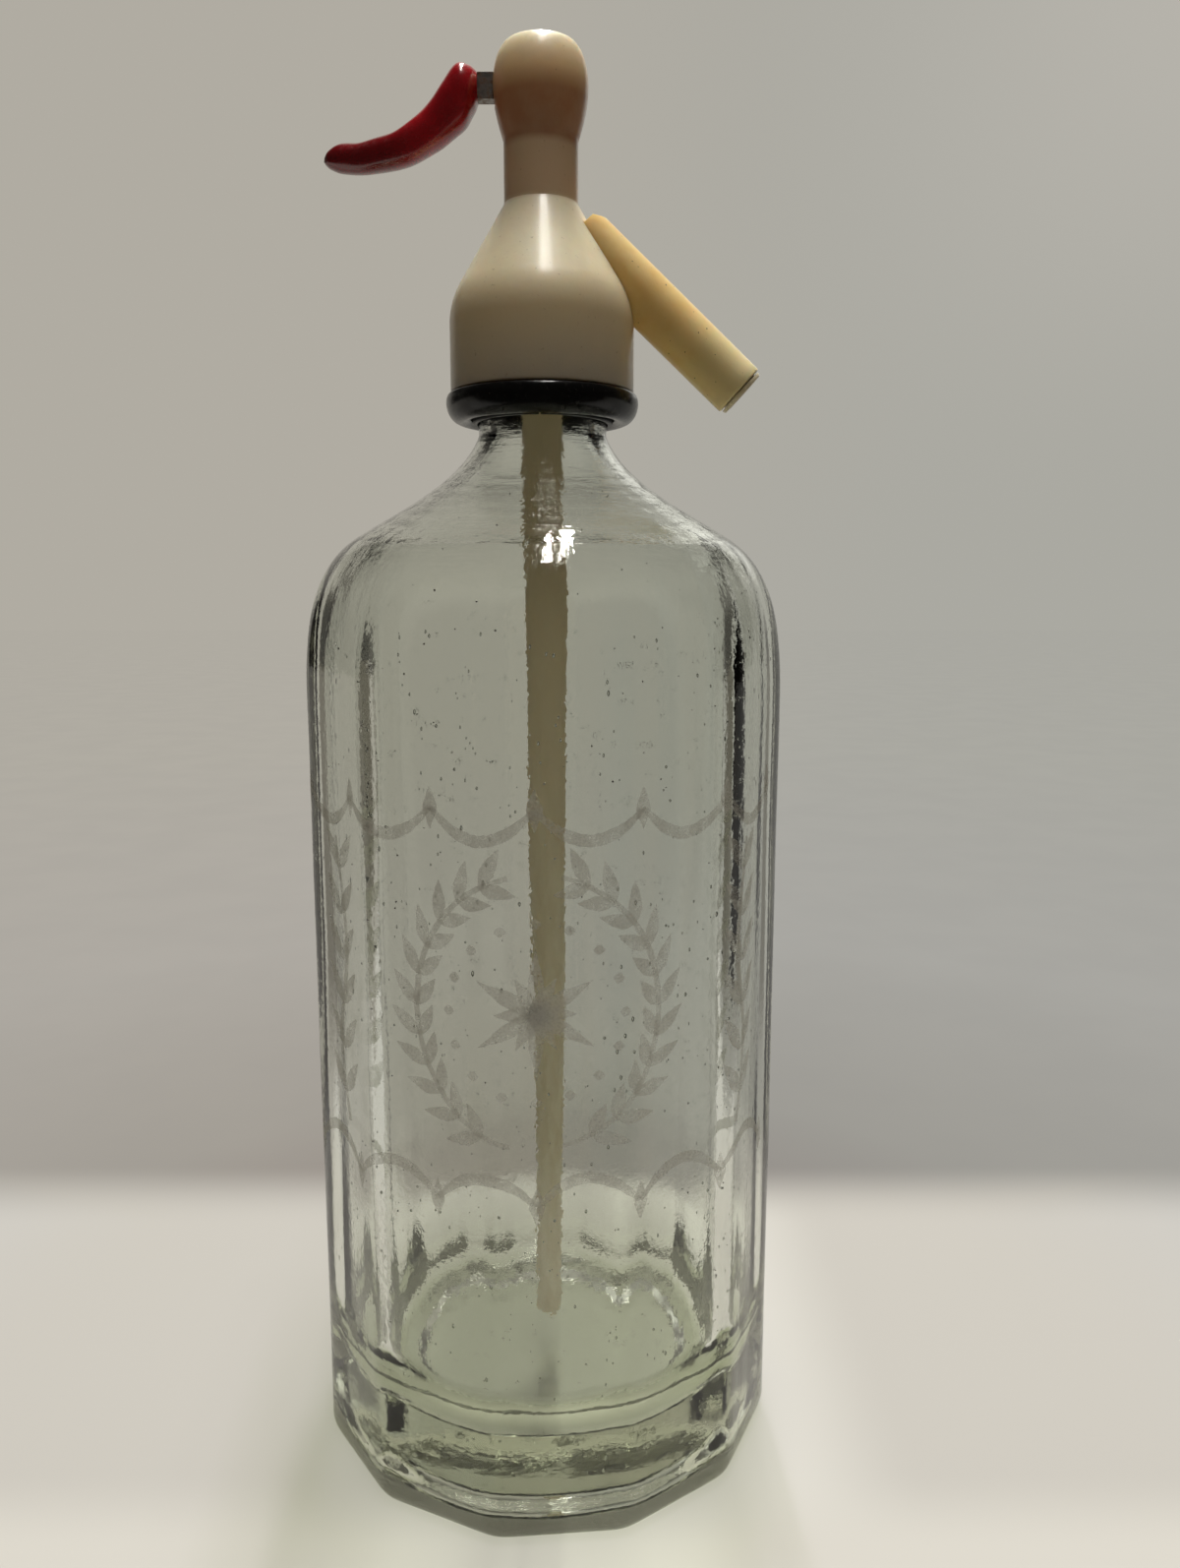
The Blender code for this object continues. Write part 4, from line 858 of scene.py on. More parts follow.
def ornament():
    """A wreath with a star, sprigs at both sides and two garlands: a plain old pattern with no letters."""
    store = ([], [])
    line = 2.4 * MM
    mid_z = 113 * MM
    for side in (-1, 1):
        # Wreath round the star
        stem = []
        for index in range(25):
            turn = math.radians(-78 + 156 * index / 24)
            stem.append((side * 25 * MM * math.cos(turn), mid_z + 27 * MM * math.sin(turn)))
        stroke(store, stem, [1.0 * MM, 1.3 * MM, 1.3 * MM, 1.0 * MM])
        for index in range(1, 12):
            turn = -78 + 156 * index / 12
            spot = (side * 25 * MM * math.cos(math.radians(turn)), mid_z + 27 * MM * math.sin(math.radians(turn)))
            lean = turn + 90
            for tilt, length in ((-38, 8.4 * MM), (38, 7.2 * MM)):
                angle = lean + tilt
                leaf(store, spot, angle if side > 0 else 180 - angle, length, 3.0 * MM)
        # Upright sprig beyond the wreath
        base = side * 47 * MM
        stroke(store, curve_path([
            (base, mid_z - 30 * MM), (base + side * 3 * MM, mid_z - 12 * MM), (base - side * 1 * MM, mid_z + 8 * MM),
            (base + side * 3 * MM, mid_z + 30 * MM),
        ]), [1.4 * MM, 1.8 * MM, 1.2 * MM])
        for index in range(6):
            z = mid_z - 24 * MM + index * 9.5 * MM
            leaf(store, (base + side * 1.5 * MM, z), 52, 10 * MM, 3.6 * MM)
            leaf(store, (base + side * 1.5 * MM, z), 128, 10 * MM, 3.6 * MM)
    # Star and ring of dots
    star(store, (0, mid_z), 12, 13 * MM, 3.4 * MM)
    for index in range(16):
        turn = math.tau * index / 16
        disc(store, (17.5 * MM * math.cos(turn), mid_z + 17.5 * MM * math.sin(turn)), 2.2 * MM)
    # Garlands above and below: swags with a lozenge at each meeting
    for top, way in ((152 * MM, -1), (74 * MM, 1)):
        for index in range(-3, 3):
            left = index * 21 * MM
            stroke(store, curve_path([
                (left, top), (left + 5 * MM, top + way * 4.2 * MM), (left + 10.5 * MM, top + way * 5.8 * MM),
                (left + 16 * MM, top + way * 4.2 * MM), (left + 21 * MM, top),
            ]), [1.0 * MM, line, line, 1.0 * MM])
        for index in range(-3, 4):
            spot = index * 21 * MM
            stroke(store, [(spot, top - 4 * MM), (spot, top + 4 * MM)], [0.2 * MM, 3.6 * MM, 0.2 * MM])
    return mesh_object("etched_ornament", store[0], store[1], ETCHED, None, outward=False)


# ---------------------------------------------------------------- head, plug and collar

def bell_outline():
    foot = arc(SKIRT_R - 0.35 * MM, SKIRT_Z + 0.35 * MM, 0.35 * MM, -90, 0, 4)
    shoulder = arc(SKIRT_R - SHOULDER_R, BELL_Z, SHOULDER_R, 0, CONE_DEG, 20)
    cone = [(cone_r + (NECK_TUBE_R - cone_r) * i / 12, cone_z + (cone_top_z - cone_z) * i / 12) for i in range(1, 13)]
    return foot + shoulder + cone


def bulb_outline():
    swell = BULB_R - NECK_TUBE_R
    low = bezier(
        (NECK_TUBE_R, bulb_z), (NECK_TUBE_R + 0.54 * swell, bulb_z + 0.35 * BULB_LOW_H),
        (BULB_R, pivot_z - BULB_LOW_H / 3), (BULB_R, pivot_z), 22,
    )
    draw_in = BULB_R - BULB_RIM_R
    high = bezier(
        (BULB_R, pivot_z), (BULB_R, pivot_z + 0.41 * BULB_TOP_H),
        (BULB_R - 0.35 * draw_in, bulb_top_z - 0.16 * BULB_TOP_H), (BULB_RIM_R, bulb_top_z), 20,
    )
    return low + high[1:]


def spout_frame():
    """Place with local Z along the spout's axis."""
    turn = Matrix.Rotation(math.pi / 2 + math.radians(SPOUT_DEG), 4, "Y")
    return Matrix.Translation((0, 0, cone_top_z + SPOUT_CROSS_ABOVE)) @ turn


def head_shell():
    plug_bore_r = BULB_BORE_R + PLUG_LEDGE_W
    neck = [(NECK_TUBE_R, cone_top_z + (bulb_z - cone_top_z) * i / 8) for i in range(1, 8)]
    outline = bell_outline() + neck + bulb_outline() + [
        (plug_bore_r + 0.1 * MM, bulb_top_z), (plug_bore_r, bulb_top_z - 0.15 * MM), (plug_bore_r, plug_ledge_z),
        (BULB_BORE_R, plug_ledge_z), (BULB_BORE_R, pivot_z - STOP_LEDGE_BELOW),
        (5.6 * MM, pivot_z - STOP_LEDGE_BELOW), (5.6 * MM, cone_top_z), (4.2 * MM, cone_top_z),
        (4.2 * MM, 266.0 * MM), (1.8 * MM, 266.0 * MM), (1.8 * MM, 264.0 * MM), (6.6 * MM, 264.0 * MM),
        (6.6 * MM, 250.5 * MM), (7.8 * MM, 250.5 * MM), (7.8 * MM, ROOF_Z), (SKIRT_BORE_R, ROOF_Z),
        (SKIRT_BORE_R, SKIRT_Z),
    ]
    shell = turned("head_shell", outline, HEAD, sides=144, sharp_deg=24.0)
    socket = turned("socket_guide", [(0, SPOUT_ROOT - GAP), (SPOUT_R + 0.1 * MM, SPOUT_ROOT - GAP),
                                     (SPOUT_R + 0.1 * MM, SPOUT_TIP), (0, SPOUT_TIP)], GUIDE, 64, closed=False)
    place_piece(socket, spout_frame())
    cut(shell, socket)
    half_w = ARM_T / 2 + GAP
    lever_angle = math.radians(LEVER_DEG)
    sweep = (BULB_R - PIVOT_X) * math.tan(lever_angle) + ARM_H / 2 / math.cos(lever_angle)
    cut(shell, box("slot_guide", (-BULB_R - 2 * MM, -half_w, pivot_z - sweep - GAP),
                   (-PIVOT_X + PIN_R, half_w, pivot_z + ARM_H / 2 + GAP)))
    hole = turned("pin_guide", [(0, -PIN_BLIND), (PIN_R + GAP, -PIN_BLIND), (PIN_R + GAP, BULB_R + 2 * MM),
                                (0, BULB_R + 2 * MM)], GUIDE, 32, closed=False)
    place_piece(hole, Matrix.Translation((-PIVOT_X, 0, pivot_z)) @ Matrix.Rotation(-math.pi / 2, 4, "X"))
    cut(shell, hole)
    shell.data.shade_smooth()
    shell.data.set_sharp_from_angle(angle=math.radians(24))
    return shell


def plug():
    plug_r = BULB_BORE_R + PLUG_LEDGE_W - GAP
    spigot_r = BULB_BORE_R - GAP
    seat_z = plug_ledge_z + GAP
    edge_z = seat_z + PLUG_EDGE_H
    dome = bezier(
        (plug_r, edge_z), (plug_r, edge_z + PLUG_DOME_H / 2), (plug_r / 2, edge_z + PLUG_DOME_H),
        (0, edge_z + PLUG_DOME_H), 24,
    )
    outline = [(0, seat_z - 1.2 * MM), (spigot_r, seat_z - 1.2 * MM), (spigot_r, seat_z), (plug_r, seat_z)] + dome
    return turned("head_plug", outline, HEAD, closed=False, sharp_deg=40.0)


def collar():
    collar_z, rim_z = 226.2 * MM, 233.0 * MM
    bore_r, wide_r, sleeve_r = 15.3 * MM, 16.4 * MM, 17.6 * MM
    low_z = collar_z + 0.9 * MM
    heel_r, rim_r, top_r = bore_r + 2.1 * MM, sleeve_r + 3.3 * MM, sleeve_r + 2.0 * MM
    rim = bezier((heel_r, low_z), (rim_r, low_z + 0.2 * MM), (rim_r + GAP, rim_z), (top_r, rim_z), 30)
    top_z = ROOF_Z - 1.8 * MM
    under = bezier((bore_r, low_z + 0.8 * MM), (bore_r + 0.1 * MM, low_z + 0.4 * MM),
                   (heel_r - 0.8 * MM, low_z), (heel_r, low_z), 8)
    outline = under + rim[1:] + [
        (sleeve_r, rim_z), (sleeve_r, top_z), (wide_r, top_z), (wide_r, 229.3 * MM), (bore_r, 229.3 * MM),
    ]
    return turned("black_collar", outline, BLACK, sides=128, sharp_deg=35.0)


REAR_DROP = 0.9 * MM


def split_half(name, start):
    """Half of the ring under the glass bead, with soft corners."""
    inner_r, foot_r, flange_r = NECK_R + GAP, bead_r, 16.1 * MM
    low_z, foot_z, top_z = 227.2 * MM, 229.6 * MM, bead_z - GAP
    outline = [
        (inner_r + 0.1 * MM, low_z), (foot_r - 0.2 * MM, low_z), (foot_r, low_z + 0.2 * MM), (foot_r, foot_z),
        (flange_r - 0.15 * MM, foot_z), (flange_r, foot_z + 0.15 * MM), (flange_r, top_z - 0.15 * MM),
        (flange_r - 0.15 * MM, top_z), (inner_r + 0.1 * MM, top_z), (inner_r, top_z - 0.1 * MM), (inner_r, low_z + 0.1 * MM),
    ]
    half_gap = math.asin(GAP / 2 / inner_r)
    rings = []
    for angle in np.linspace(start + half_gap, start + math.pi - half_gap, 49):
        drop = 0.5 * REAR_DROP * (1 + math.sin(angle))
        rings.append([(r * math.cos(angle), r * math.sin(angle), z - (drop if z < foot_z - GAP else 0))
                      for r, z in outline])
    middle_r, middle_z = inner_r + 0.5 * MM, foot_z + 0.5 * MM
    ends = [(middle_r * math.cos(a), middle_r * math.sin(a), middle_z)
            for a in (start + half_gap, start + math.pi - half_gap)]
    return grid_object(name, rings, SPLIT, 35.0, ends=tuple(ends))


# ---------------------------------------------------------------- spout

def spout():
    recess_r = SPOUT_BORE_R + LINER_WALL + GAP
    recess = SPOUT_TIP - LINER_LENGTH - GAP
    outline = [
        (SPOUT_BORE_R, SPOUT_ROOT), (SPOUT_R, SPOUT_ROOT)] + [
        (SPOUT_R, SPOUT_ROOT + (SPOUT_TIP - 0.4 * MM - SPOUT_ROOT) * i / 30) for i in range(1, 31)] + [
        (SPOUT_R - 0.12 * MM, SPOUT_TIP - 0.12 * MM), (SPOUT_R - 0.4 * MM, SPOUT_TIP),
        (recess_r, SPOUT_TIP), (recess_r, recess), (SPOUT_BORE_R, recess),
    ]
    tube = turned("spout_amber", outline, SPOUT, sides=80, sharp_deg=35.0)
    place_piece(tube, spout_frame())
    guide = turned("chamber_guide", [(0, 250.5 * MM), (6.9 * MM, 250.5 * MM), (6.9 * MM, 264.3 * MM), (0, 264.3 * MM)],
                   GUIDE, 48, closed=False)
    cut(tube, guide)
    cut(tube, box("trim_guide", (0, -SPOUT_TIP, cone_top_z - SPOUT_TRIM_BELOW), (SPOUT_TIP, SPOUT_TIP, pivot_z)))
    tube.data.shade_smooth()
    tube.data.set_sharp_from_angle(angle=math.radians(35))
    lip_r = SPOUT_R - LINER_LIP_OUT
    end = SPOUT_TIP + GAP
    liner_outline = [
        (SPOUT_BORE_R, SPOUT_TIP - LINER_LENGTH), (recess_r - GAP, SPOUT_TIP - LINER_LENGTH),
        (recess_r - GAP, end), (lip_r, end), (lip_r, end + 0.5 * LINER_LIP_H), (lip_r - 0.25 * MM, end + LINER_LIP_H),
        (SPOUT_BORE_R + 0.2 * MM, end + LINER_LIP_H), (SPOUT_BORE_R, end + 0.6 * LINER_LIP_H),
    ]
    liner = turned("spout_end_liner", liner_outline, LINER, sides=64, sharp_deg=35.0)
    place_piece(liner, spout_frame())
    return tube, liner


# ---------------------------------------------------------------- lever

def grip_stations():
    return [
        (-ARM_MOUTH_X - reach * GRIP_REACH, pivot_z - drop * GRIP_DROP, height * GRIP_H / 2, math.radians(slope))
        for reach, drop, height, slope in GRIP_SHARES
    ]


def core_half(row):
    return (CORE_H + (CORE_TIP_H - CORE_H) * row / CORE_LAST_ROW) / 2


def smooth_stations(steps):
    """The grip's rows with a smooth curve through them."""
    rows = grip_stations()
    return [tuple(row) for row in curve_path(rows, steps)]


def lever_arm():
    nose = arc(0, pivot_z, NOSE_R, -140, 140, 24)
    half_tongue = TONGUE_H / 2
    strip_top = pivot_z + ARM_H / 2
    upper = [(-ARM_HUB_X, pivot_z + half_tongue), (-ARM_HUB_X, strip_top), (-ARM_MOUTH_X, strip_top)]
    lower = [(x, 2 * pivot_z - z) for x, z in reversed(upper)]
    for row, (x, z, _, slope) in enumerate(grip_stations()[:CORE_LAST_ROW + 1]):
        half = core_half(row)
        lean_x, lean_z = (half * math.sin(slope), half * math.cos(slope)) if row else (0, half)
        upper.append((x - lean_x, z + lean_z))
        lower.insert(0, (x + lean_x, z - lean_z))
    outline = nose + upper + lower
    made = bmesh.new()
    face = made.faces.new([made.verts.new((x, -ARM_T / 2, z)) for x, z in outline])
    grown = bmesh.ops.extrude_face_region(made, geom=[face])["geom"]
    bmesh.ops.translate(made, vec=(0, ARM_T, 0), verts=[v for v in grown if isinstance(v, bmesh.types.BMVert)])
    bmesh.ops.recalc_face_normals(made, faces=made.faces)
    mesh = bpy.data.meshes.new("steel_strip")
    made.to_mesh(mesh)
    made.free()
    arm = bpy.data.objects.new("steel_strip", mesh)
    bpy.context.scene.collection.objects.link(arm)
    mesh.materials.append(STRIP)
    eye = turned("eye_guide", [(0, -ARM_T), (PIN_R + GAP, -ARM_T), (PIN_R + GAP, ARM_T), (0, ARM_T)], GUIDE, 32, False)
    place_piece(eye, Matrix.Translation((-PIVOT_X, 0, pivot_z)) @ Matrix.Rotation(-math.pi / 2, 4, "X"))
    cut(arm, eye)
    bevel = arm.modifiers.new("soft_edges", "BEVEL")
    bevel.width = 0.22 * MM
    bevel.segments = 2
    bevel.limit_method = "ANGLE"
    bevel.angle_limit = math.radians(50)
    arm.data.shade_smooth()
    arm.data.set_sharp_from_angle(angle=math.radians(30))
    return arm


def lever_grip():
    rows = smooth_stations(8)
    sides = 48
    angles = np.arange(sides) * math.tau / sides
    chance = random.Random(9)
    terms = [(chance.randint(1, 5), chance.uniform(0.15, 0.9) / MM, chance.uniform(0, 6.28), chance.uniform(0.01, 0.03) * MM)
             for _ in range(12)]
    rings = []
    tip = (-ARM_MOUTH_X - GRIP_REACH, 0, pivot_z - GRIP_DROP)
    for x, z, half, slope in reversed(rows):
        half = max(half, 0.3 * MM)
        calm = min(1.0, half / (3 * MM))
        lumps = sum(size * np.sin(turns * angles + pace * x + phase) for turns, pace, phase, size in terms) * calm
        cosine, sine = np.cos(angles), np.sin(angles)
        across = (half * GRIP_W / GRIP_H) * np.sign(cosine) * np.abs(cosine) ** 0.84
        up = half * np.sign(sine) * np.abs(sine) ** 0.84
        length = np.hypot(across, up)
        across, up = across * (1 + lumps / length), up * (1 + lumps / length)
        rings.append(np.stack([x - up * math.sin(slope), across, z + up * math.cos(slope)], axis=1))
    mouth = []
    for row in range(CORE_LAST_ROW + 1):
        x, z, _, slope = grip_stations()[row]
        half_h, half_w = core_half(row) + GAP, ARM_T / 2 + GAP
        reach = 1 / np.maximum(np.abs(np.cos(angles)), np.abs(np.sin(angles)))
        across, up = half_w * reach * np.cos(angles), half_h * reach * np.sin(angles)
        mouth.append(np.stack([x - up * math.sin(slope), across, z + up * math.cos(slope)], axis=1))
    last_x, last_z, _, last_slope = grip_stations()[CORE_LAST_ROW]
    end = (last_x - GAP * math.cos(last_slope), 0, last_z - GAP * math.sin(last_slope))
    grip = grid_object("red_grip", rings + mouth, GRIP, 55.0, ends=(tip, end))
    return grip


def pin():
    back = math.sqrt(BULB_R ** 2 - PIVOT_X ** 2) - PIN_SUNK
    outline = [(0, -PIN_BLIND + GAP), (PIN_R, -PIN_BLIND + GAP), (PIN_R, back - 0.2 * MM), (PIN_R - 0.2 * MM, back), (0, back)]
    made = turned("lever_pivot_pin", outline, PIN, sides=32, closed=False)
    return place_piece(made, Matrix.Translation((-PIVOT_X, 0, pivot_z)) @ Matrix.Rotation(-math.pi / 2, 4, "X"))


def tube():
    low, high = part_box("dip_tube")
    chance = random.Random(4)
    rounds = 0.25 * MM
    outline = [
        (TUBE_BORE_R, low.z), (TUBE_R - rounds, low.z), (TUBE_R, low.z + rounds)]
    outline += [(TUBE_R + chance.uniform(-0.04, 0.04) * MM, z) for z in np.arange(low.z + 3 * MM, high.z - 3 * MM, 3 * MM)]
    outline += [(TUBE_R, high.z), (TUBE_BORE_R, high.z)]
    return turned("dip_tube_cream", outline, TUBE, sides=48, sharp_deg=40.0)


def return_spring():
    """A coil with closed wire ends, as long as the CAD spring between its stops; it is fixed to the root."""
    low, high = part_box("return_spring")
    steps, sides = SPRING_TURNS * 28, 12
    rise = high.z - low.z - 2 * SPRING_WIRE_R
    round_wire = np.arange(sides) * math.tau / sides
    rings, ends = [], []
    for step in range(steps + 1):
        turn = math.tau * SPRING_TURNS * step / steps
        centre = np.array([SPRING_R * math.cos(turn), SPRING_R * math.sin(turn),
                           low.z + SPRING_WIRE_R + rise * step / steps])
        outward = np.array([math.cos(turn), math.sin(turn), 0.0])
        upward = np.array([0.0, 0.0, 1.0])
        rings.append(centre + SPRING_WIRE_R * (np.cos(round_wire)[:, None] * outward + np.sin(round_wire)[:, None] * upward))
        if step in (0, steps):
            ends.append(tuple(centre))
    coil = grid_object("valve_return_spring", rings, steel, 40.0, ends=tuple(ends))
    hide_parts("return_spring")
    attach(coil, "root")
    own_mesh(coil)


# ---------------------------------------------------------------- stage and light

def room_tint(tree, across):
    """The backdrop is a little cooler and darker towards the right."""
    return mix(tree, map_range(tree, across, -0.15, 0.30), (1.0, 1.0, 1.0), (0.925, 0.962, 0.990))


def stage():
    """A pale paper floor that fades into the backdrop's warm grey, with a painted pool of light round the object,
    painted shade where the paper curves up behind, painted light on the floor round the glass, and painted dark bands
    seen only through the glass.
    """
    made, tree = start_material("pale_paper")
    place = object_coords(tree)
    parts = add(tree, "SeparateXYZ", {"Vector": place})
    far = add(tree, "VectorMath", {0: place}, operation="LENGTH").outputs["Value"]
    grain = noise(tree, place, 60 * MM, 3.0)
    behind = map_range(tree, parts.outputs["Y"], 72 * MM, 112 * MM)
    distance = map_range(tree, far, 0.12, 1.2, smooth=False)
    # Painted shade: the paper is darkest where it curves up into the backdrop, and lighter further back.
    back = ramp(tree, distance, [(0.0, (0.330, 0.295, 0.262)), (0.05, (0.372, 0.345, 0.305)),
                                 (0.25, (0.428, 0.402, 0.362)), (1.0, (0.436, 0.412, 0.362))])
    # Painted pool of light: pale round the object, fading to the backdrop's grey further out.
    front = mix(tree, map_range(tree, far, 0.35, 1.1), (0.650, 0.628, 0.580), (0.436, 0.412, 0.362))
    across = math_node(tree, "DIVIDE", parts.outputs["X"], far)
    back = mix(tree, 1.0, back, room_tint(tree, across), "MULTIPLY")
    painted = mix(tree, behind, front, back)
    painted = mix(tree, map_range(tree, grain, 0.3, 0.7, 0.0, 0.05), painted, (0.2, 0.2, 0.2))
    paper = mix(tree, behind, (0.64, 0.62, 0.58), (0.40, 0.38, 0.34))
    paper = mix(tree, map_range(tree, far, 0.14, 0.34), paper, (0.14, 0.12, 0.09))
    # Painted light: a brighter strip of floor just to the right of the glass, where the glass would bend light onto it.
    painted_light_right = math_node(tree, "MULTIPLY", map_range(tree, parts.outputs["X"], 20 * MM, 48 * MM),
                       map_range(tree, parts.outputs["X"], 52 * MM, 84 * MM, 1.0, 0.0))
    painted_light_right = mix(tree, painted_light_right, (0.53, 0.52, 0.49), (0.64, 0.635, 0.60))
    # Painted light in the glass's shadow: the floor just in front of the bottle is paler, most of all near the middle.
    painted_light_front = mix(tree, map_range(tree, math_node(tree, "ABSOLUTE", parts.outputs["X"]), 20 * MM, 52 * MM),
                 (0.84, 0.83, 0.78), (0.62, 0.61, 0.57))
    near = mix(tree, map_range(tree, parts.outputs["Y"], -52 * MM, -30 * MM), painted_light_front, painted_light_right)
    diffuse = add(tree, "BsdfDiffuse", {"Color": mix(tree, behind, near, (0.40, 0.38, 0.34))})
    dim = add(tree, "BsdfDiffuse", {"Color": paper})
    path = add(tree, "LightPath")
    ahead = map_range(tree, parts.outputs["Y"], -0.20, -0.06, 1.0, 0.0)
    unlit = math_node(tree, "MULTIPLY", ahead, path.outputs["Is Glossy Ray"])
    painted = mix(tree, unlit, painted, (0.03, 0.027, 0.024))
    # Painted dark bands on the far floor at the sides, seen only through the glass, which paint its dark lines.
    sideways = math_node(tree, "ARCTAN2", math_node(tree, "ABSOLUTE", parts.outputs["X"]), parts.outputs["Y"])
    dark = map_range(tree, sideways, math.radians(41), math.radians(50), 0.0, 0.80)
    dark = math_node(tree, "MULTIPLY", dark, map_range(tree, sideways, math.radians(63), math.radians(72), 1.0, 0.0))
    dark = math_node(tree, "MULTIPLY", dark, math_node(tree, "MULTIPLY", path.outputs["Is Transmission Ray"],
                                                       map_range(tree, far, 0.20, 0.40)))
    painted = mix(tree, dark, painted, (0.050, 0.040, 0.022))
    glow = add(tree, "Emission", {"Color": painted, "Strength": 1.0})
    seen = math_node(tree, "MAXIMUM", path.outputs["Is Camera Ray"], math_node(
        tree, "MAXIMUM", path.outputs["Is Glossy Ray"], path.outputs["Is Transmission Ray"]))
    away = map_range(tree, far, 0.13, 0.24)
    away = math_node(tree, "MAXIMUM", away, behind)
    # Painted light: camera rays see the floor round the bottle's foot brighter, over the glass's shadow.
    foot = math_node(tree, "MULTIPLY", map_range(tree, far, 50 * MM, 66 * MM, 0.30, 0.0), path.outputs["Is Camera Ray"])
    away = math_node(tree, "MAXIMUM", away, foot)
    shown = add(tree, "MixShader", {0: away, 1: diffuse.outputs[0], 2: glow.outputs[0]})
    both = add(tree, "MixShader", {0: seen, 1: dim.outputs[0], 2: shown.outputs[0]})
    close(tree, both.outputs[0])
    size = 6.0
    floor = mesh_object("floor", [(-size, -size, 0), (size, -size, 0), (size, size, 0), (-size, size, 0)],
                        [(0, 1, 2, 3)], made, None, outward=False)


def world():
    scene = bpy.context.scene
    made = bpy.data.worlds.new("room")
    scene.world = made
    made.use_nodes = True
    tree = made.node_tree
    tree.nodes.clear()
    way = add(tree, "TexCoord").outputs["Generated"]
    parts = add(tree, "SeparateXYZ", {"Vector": way})
    side = math_node(tree, "ABSOLUTE", parts.outputs["X"])
    depth = math_node(tree, "MAXIMUM", parts.outputs["Y"], 0.0)
    turn = math_node(tree, "ARCTAN2", side, depth)
    # Painted patches seen only in reflections and through the glass: dark bands at the sides and a dark patch higher up
    # paint the glass's dark lines, and a bright patch to the right paints its bright wedge.
    band = math_node(tree, "MULTIPLY", map_range(tree, turn, math.radians(41), math.radians(50)),
                     map_range(tree, turn, math.radians(63), math.radians(72), 1.0, 0.0))
    band = math_node(tree, "MULTIPLY", band, map_range(tree, parts.outputs["Z"], 0.10, 0.24, 1.0, 0.5))
    high = math_node(tree, "MULTIPLY", map_range(tree, turn, math.radians(30), math.radians(36)),
                     map_range(tree, turn, math.radians(60), math.radians(66), 1.0, 0.0))
    high = math_node(tree, "MULTIPLY", high, map_range(tree, parts.outputs["Z"], 0.26, 0.34))
    high = math_node(tree, "MULTIPLY", high, map_range(tree, parts.outputs["Z"], 0.54, 0.60, 1.0, 0.0))
    aside = math_node(tree, "ARCTAN2", parts.outputs["X"], parts.outputs["Y"])
    pale = math_node(tree, "MULTIPLY", map_range(tree, aside, math.radians(14), math.radians(20)),
                     map_range(tree, aside, math.radians(34), math.radians(40), 1.0, 0.0))
    pale = math_node(tree, "MULTIPLY", pale, map_range(tree, parts.outputs["Z"], 0.17, 0.25))
    pale = math_node(tree, "MULTIPLY", pale, map_range(tree, parts.outputs["Z"], 0.46, 0.60, 1.0, 0.0))
    path = add(tree, "LightPath")
    camera = path.outputs["Is Camera Ray"]
    glossy = path.outputs["Is Glossy Ray"]
    through = path.outputs["Is Transmission Ray"]
    paper = mix(tree, 1.0, (0.436, 0.412, 0.362), room_tint(tree, parts.outputs["X"]), "MULTIPLY")
    corner = math_node(tree, "MULTIPLY", map_range(tree, parts.outputs["X"], 0.08, 0.42),
                       map_range(tree, parts.outputs["Z"], 0.05, 0.42))
    paper = mix(tree, corner, paper, (0.47, 0.452, 0.408))
    lit = mix(tree, map_range(tree, parts.outputs["Z"], 0.84, 0.98), paper, (0.05, 0.047, 0.042))
    lit = mix(tree, pale, lit, (0.95, 0.94, 0.87))
    share = map_range(tree, parts.outputs["X"], -0.2, 0.2, 0.97, 0.74)
    lit = mix(tree, math_node(tree, "MULTIPLY", band, share), lit, (0.050, 0.038, 0.020))
    lit = mix(tree, math_node(tree, "MULTIPLY", high, 0.92), lit, (0.012, 0.011, 0.010))
    # Painted shade in reflections: glossy rays see a dark room in front.
    front = map_range(tree, parts.outputs["Y"], 0.15, 0.75)
    mirrored = mix(tree, front, (0.030, 0.027, 0.023), lit)
    mirrored = mix(tree, band, mirrored, (0.05, 0.047, 0.042))
    shown = mix(tree, glossy, lit, mirrored)
    shown = mix(tree, camera, shown, paper)
    seen = math_node(tree, "MAXIMUM", camera, math_node(tree, "MAXIMUM", glossy, through))
    painted = add(tree, "Background", {"Color": shown, "Strength": 1.0})
    room = add(tree, "Background", {"Color": (0.042, 0.033, 0.024), "Strength": 1.0})
    both = add(tree, "MixShader", {0: seen, 1: room.outputs[0], 2: painted.outputs[0]})
    add(tree, "OutputWorld", {"Surface": both.outputs[0]})


def lamps():
    """Two ceiling tubes that run towards the viewer, and pass over the bottle."""
    for side, x, lean, share in (("left", 0.045, 0.035, 1.3), ("right", 0.200, 0.060, 0.7)):
        for part, middle, length, power in (("rear", 0.35, 1.2, 17.5), ("front", -0.50, 0.50, 3.0 * share)):
            data = bpy.data.lights.new("tube_lamp_%s_%s" % (side, part), "AREA")
            data.shape = "RECTANGLE"
            data.size = 0.035
            data.size_y = length
            data.energy = power
            data.color = (1.0, 0.97, 0.92)
            lamp = bpy.data.objects.new(data.name, data)
            lamp.location = (x - lean * (middle + 0.6), middle, 1.75)
            lamp.rotation_euler = (0, 0, math.atan(lean))
            bpy.context.scene.collection.objects.link(lamp)


def camera():
    data = bpy.data.cameras.new("view")
    data.lens = CAMERA_LENS
    data.sensor_width = 36.0
    data.clip_start = 5 * MM
    data.clip_end = 50.0
    made = bpy.data.objects.new("view", data)
    made.location = (CAMERA_X, CAMERA_Y, CAMERA_Z)
    made.rotation_euler = (math.radians(CAMERA_TILT_DEG), 0, 0)
    bpy.context.scene.collection.objects.link(made)
    bpy.context.scene.camera = made


# ---------------------------------------------------------------- build

camera()
bpy.context.scene.view_settings.view_transform = "Standard"

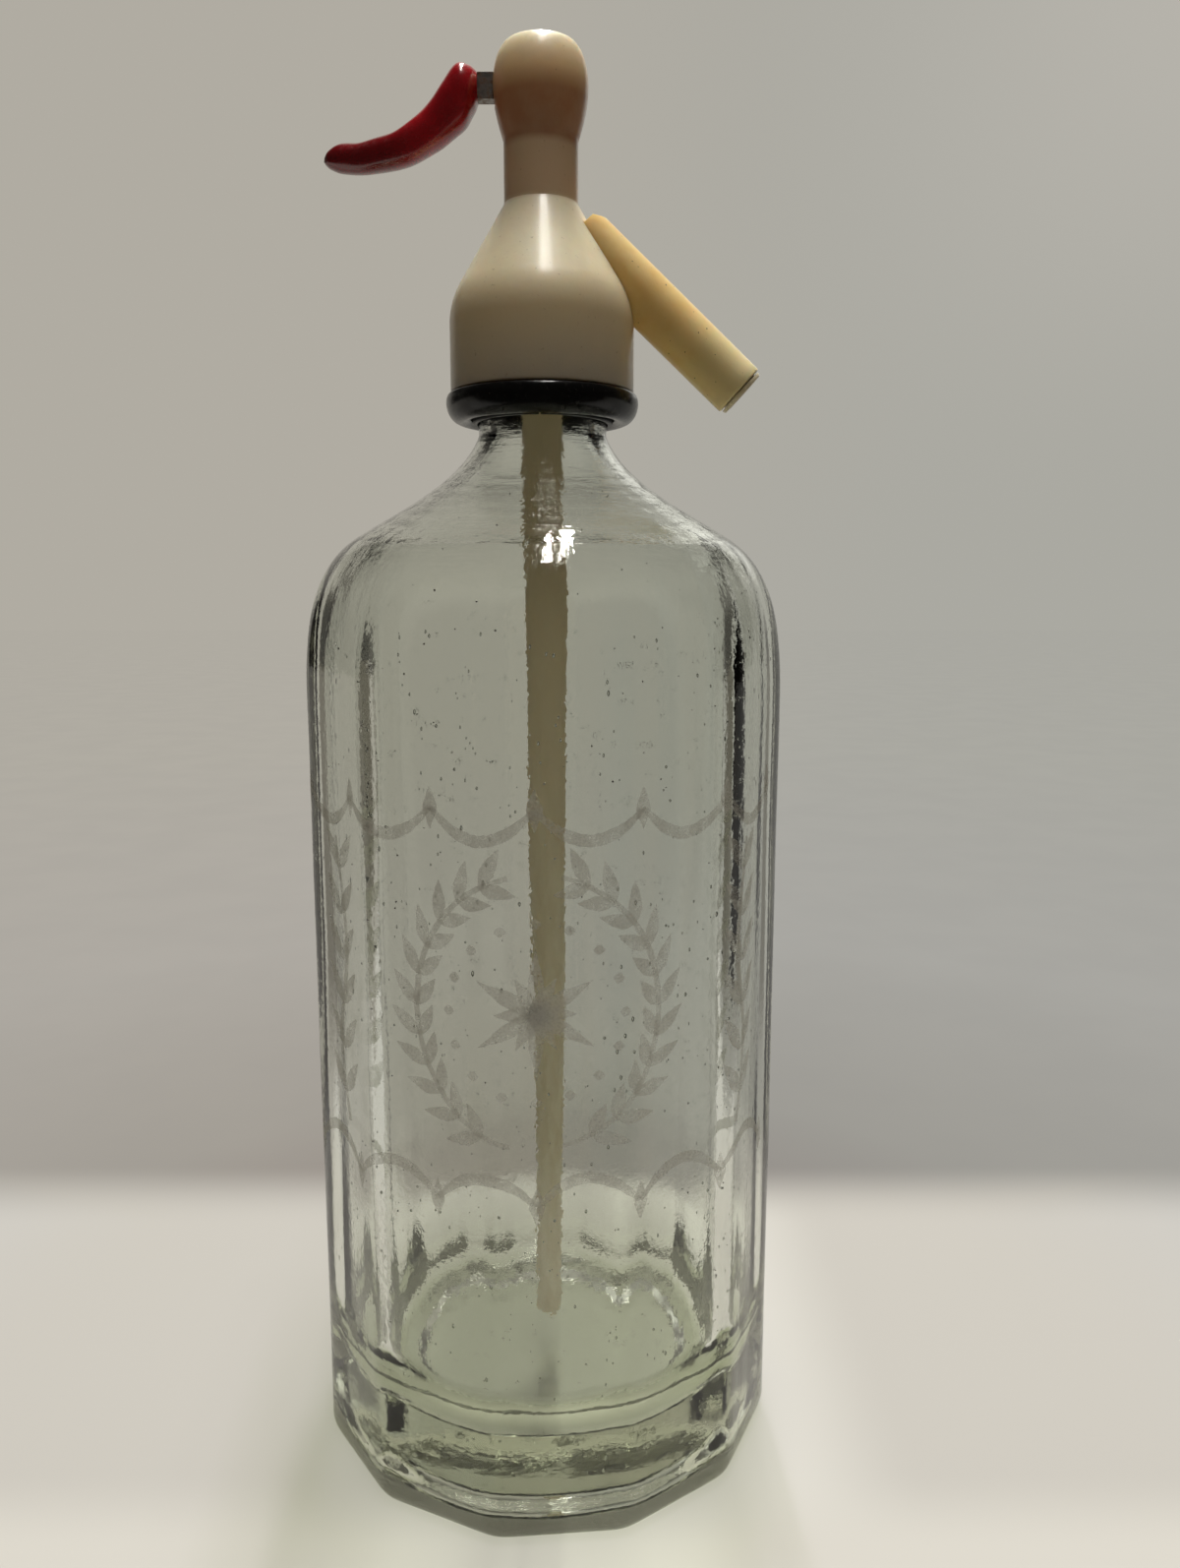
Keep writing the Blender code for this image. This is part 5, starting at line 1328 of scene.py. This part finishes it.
GUIDE = bpy.data.materials.new("guide")
GLASS = glass_material()
HEAD = head_material()
SPOUT = spout_material()
LINER = liner_material()
GRIP = grip_material()
BLACK = black_material("black_collar_plastic", 0.12)
SPLIT = black_material("black_split_ring_plastic", 0.28)
TUBE = tube_material()
STRIP = metal_material("aged_steel_strip", (0.30, 0.28, 0.26), (0.16, 0.09, 0.05), 0.35)
PIN = metal_material("pin_steel", (0.55, 0.54, 0.52), (0.28, 0.22, 0.17), 0.25)
ETCHED = etched_material()
DUST = rubber_material("brown_dust", (0.030, 0.024, 0.017))

bottle = glass_bottle()
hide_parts("glass_bottle")
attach(bottle, "root")

etching = ornament()
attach(etching, "root")

specks = dust_specks()
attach(specks, "root")

shell = head_shell()
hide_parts("head_body")
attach(shell, "root")

top = plug()
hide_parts("top_plug")
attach(top, "root")

ring = collar()
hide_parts("neck_collar")
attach(ring, "root")

for side, start in (("left", math.pi / 2), ("right", -math.pi / 2)):
    half = split_half("split_ring_half_" + side, start)
    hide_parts("split_ring_" + side)
    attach(half, "root")

spout_piece, liner_piece = spout()
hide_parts("spout_tube")
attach(spout_piece, "root")
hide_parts("spout_liner")
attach(liner_piece, "root")

strip = lever_arm()
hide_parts("lever_arm")
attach(strip, "lever")

grip = lever_grip()
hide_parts("lever_grip")
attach(grip, "lever")

pivot_pin = pin()
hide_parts("lever_pin")
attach(pivot_pin, "root")

dip = tube()
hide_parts("dip_tube")
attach(dip, "root")

# Inner CAD pieces keep their shapes and get finishes
steel = metal_material("bright_steel", (0.55, 0.55, 0.56), (0.30, 0.27, 0.24), 0.22)
brass = metal_material("aged_brass", (0.66, 0.46, 0.19), (0.26, 0.17, 0.08), 0.28)
rubber = rubber_material("black_rubber", (0.020, 0.020, 0.020))
for names, finish in (
    (("neck_gasket", "valve_washer", "seat_gasket", "tube_seal_ring", "rod_seal"), rubber),
    (("valve_rod", "rod_collar", "spring_stop", "washer_screw"), steel),
    (("disc_holder", "valve_seat", "seal_gland"), brass),
    (("tube_ferrule",), TUBE),
):
    for name in names:
        node = frame["nodes"][name]
        node.data.materials.clear()
        node.data.materials.append(finish)

return_spring()

stage()
world()
lamps()
bpy.data.materials.remove(GUIDE)
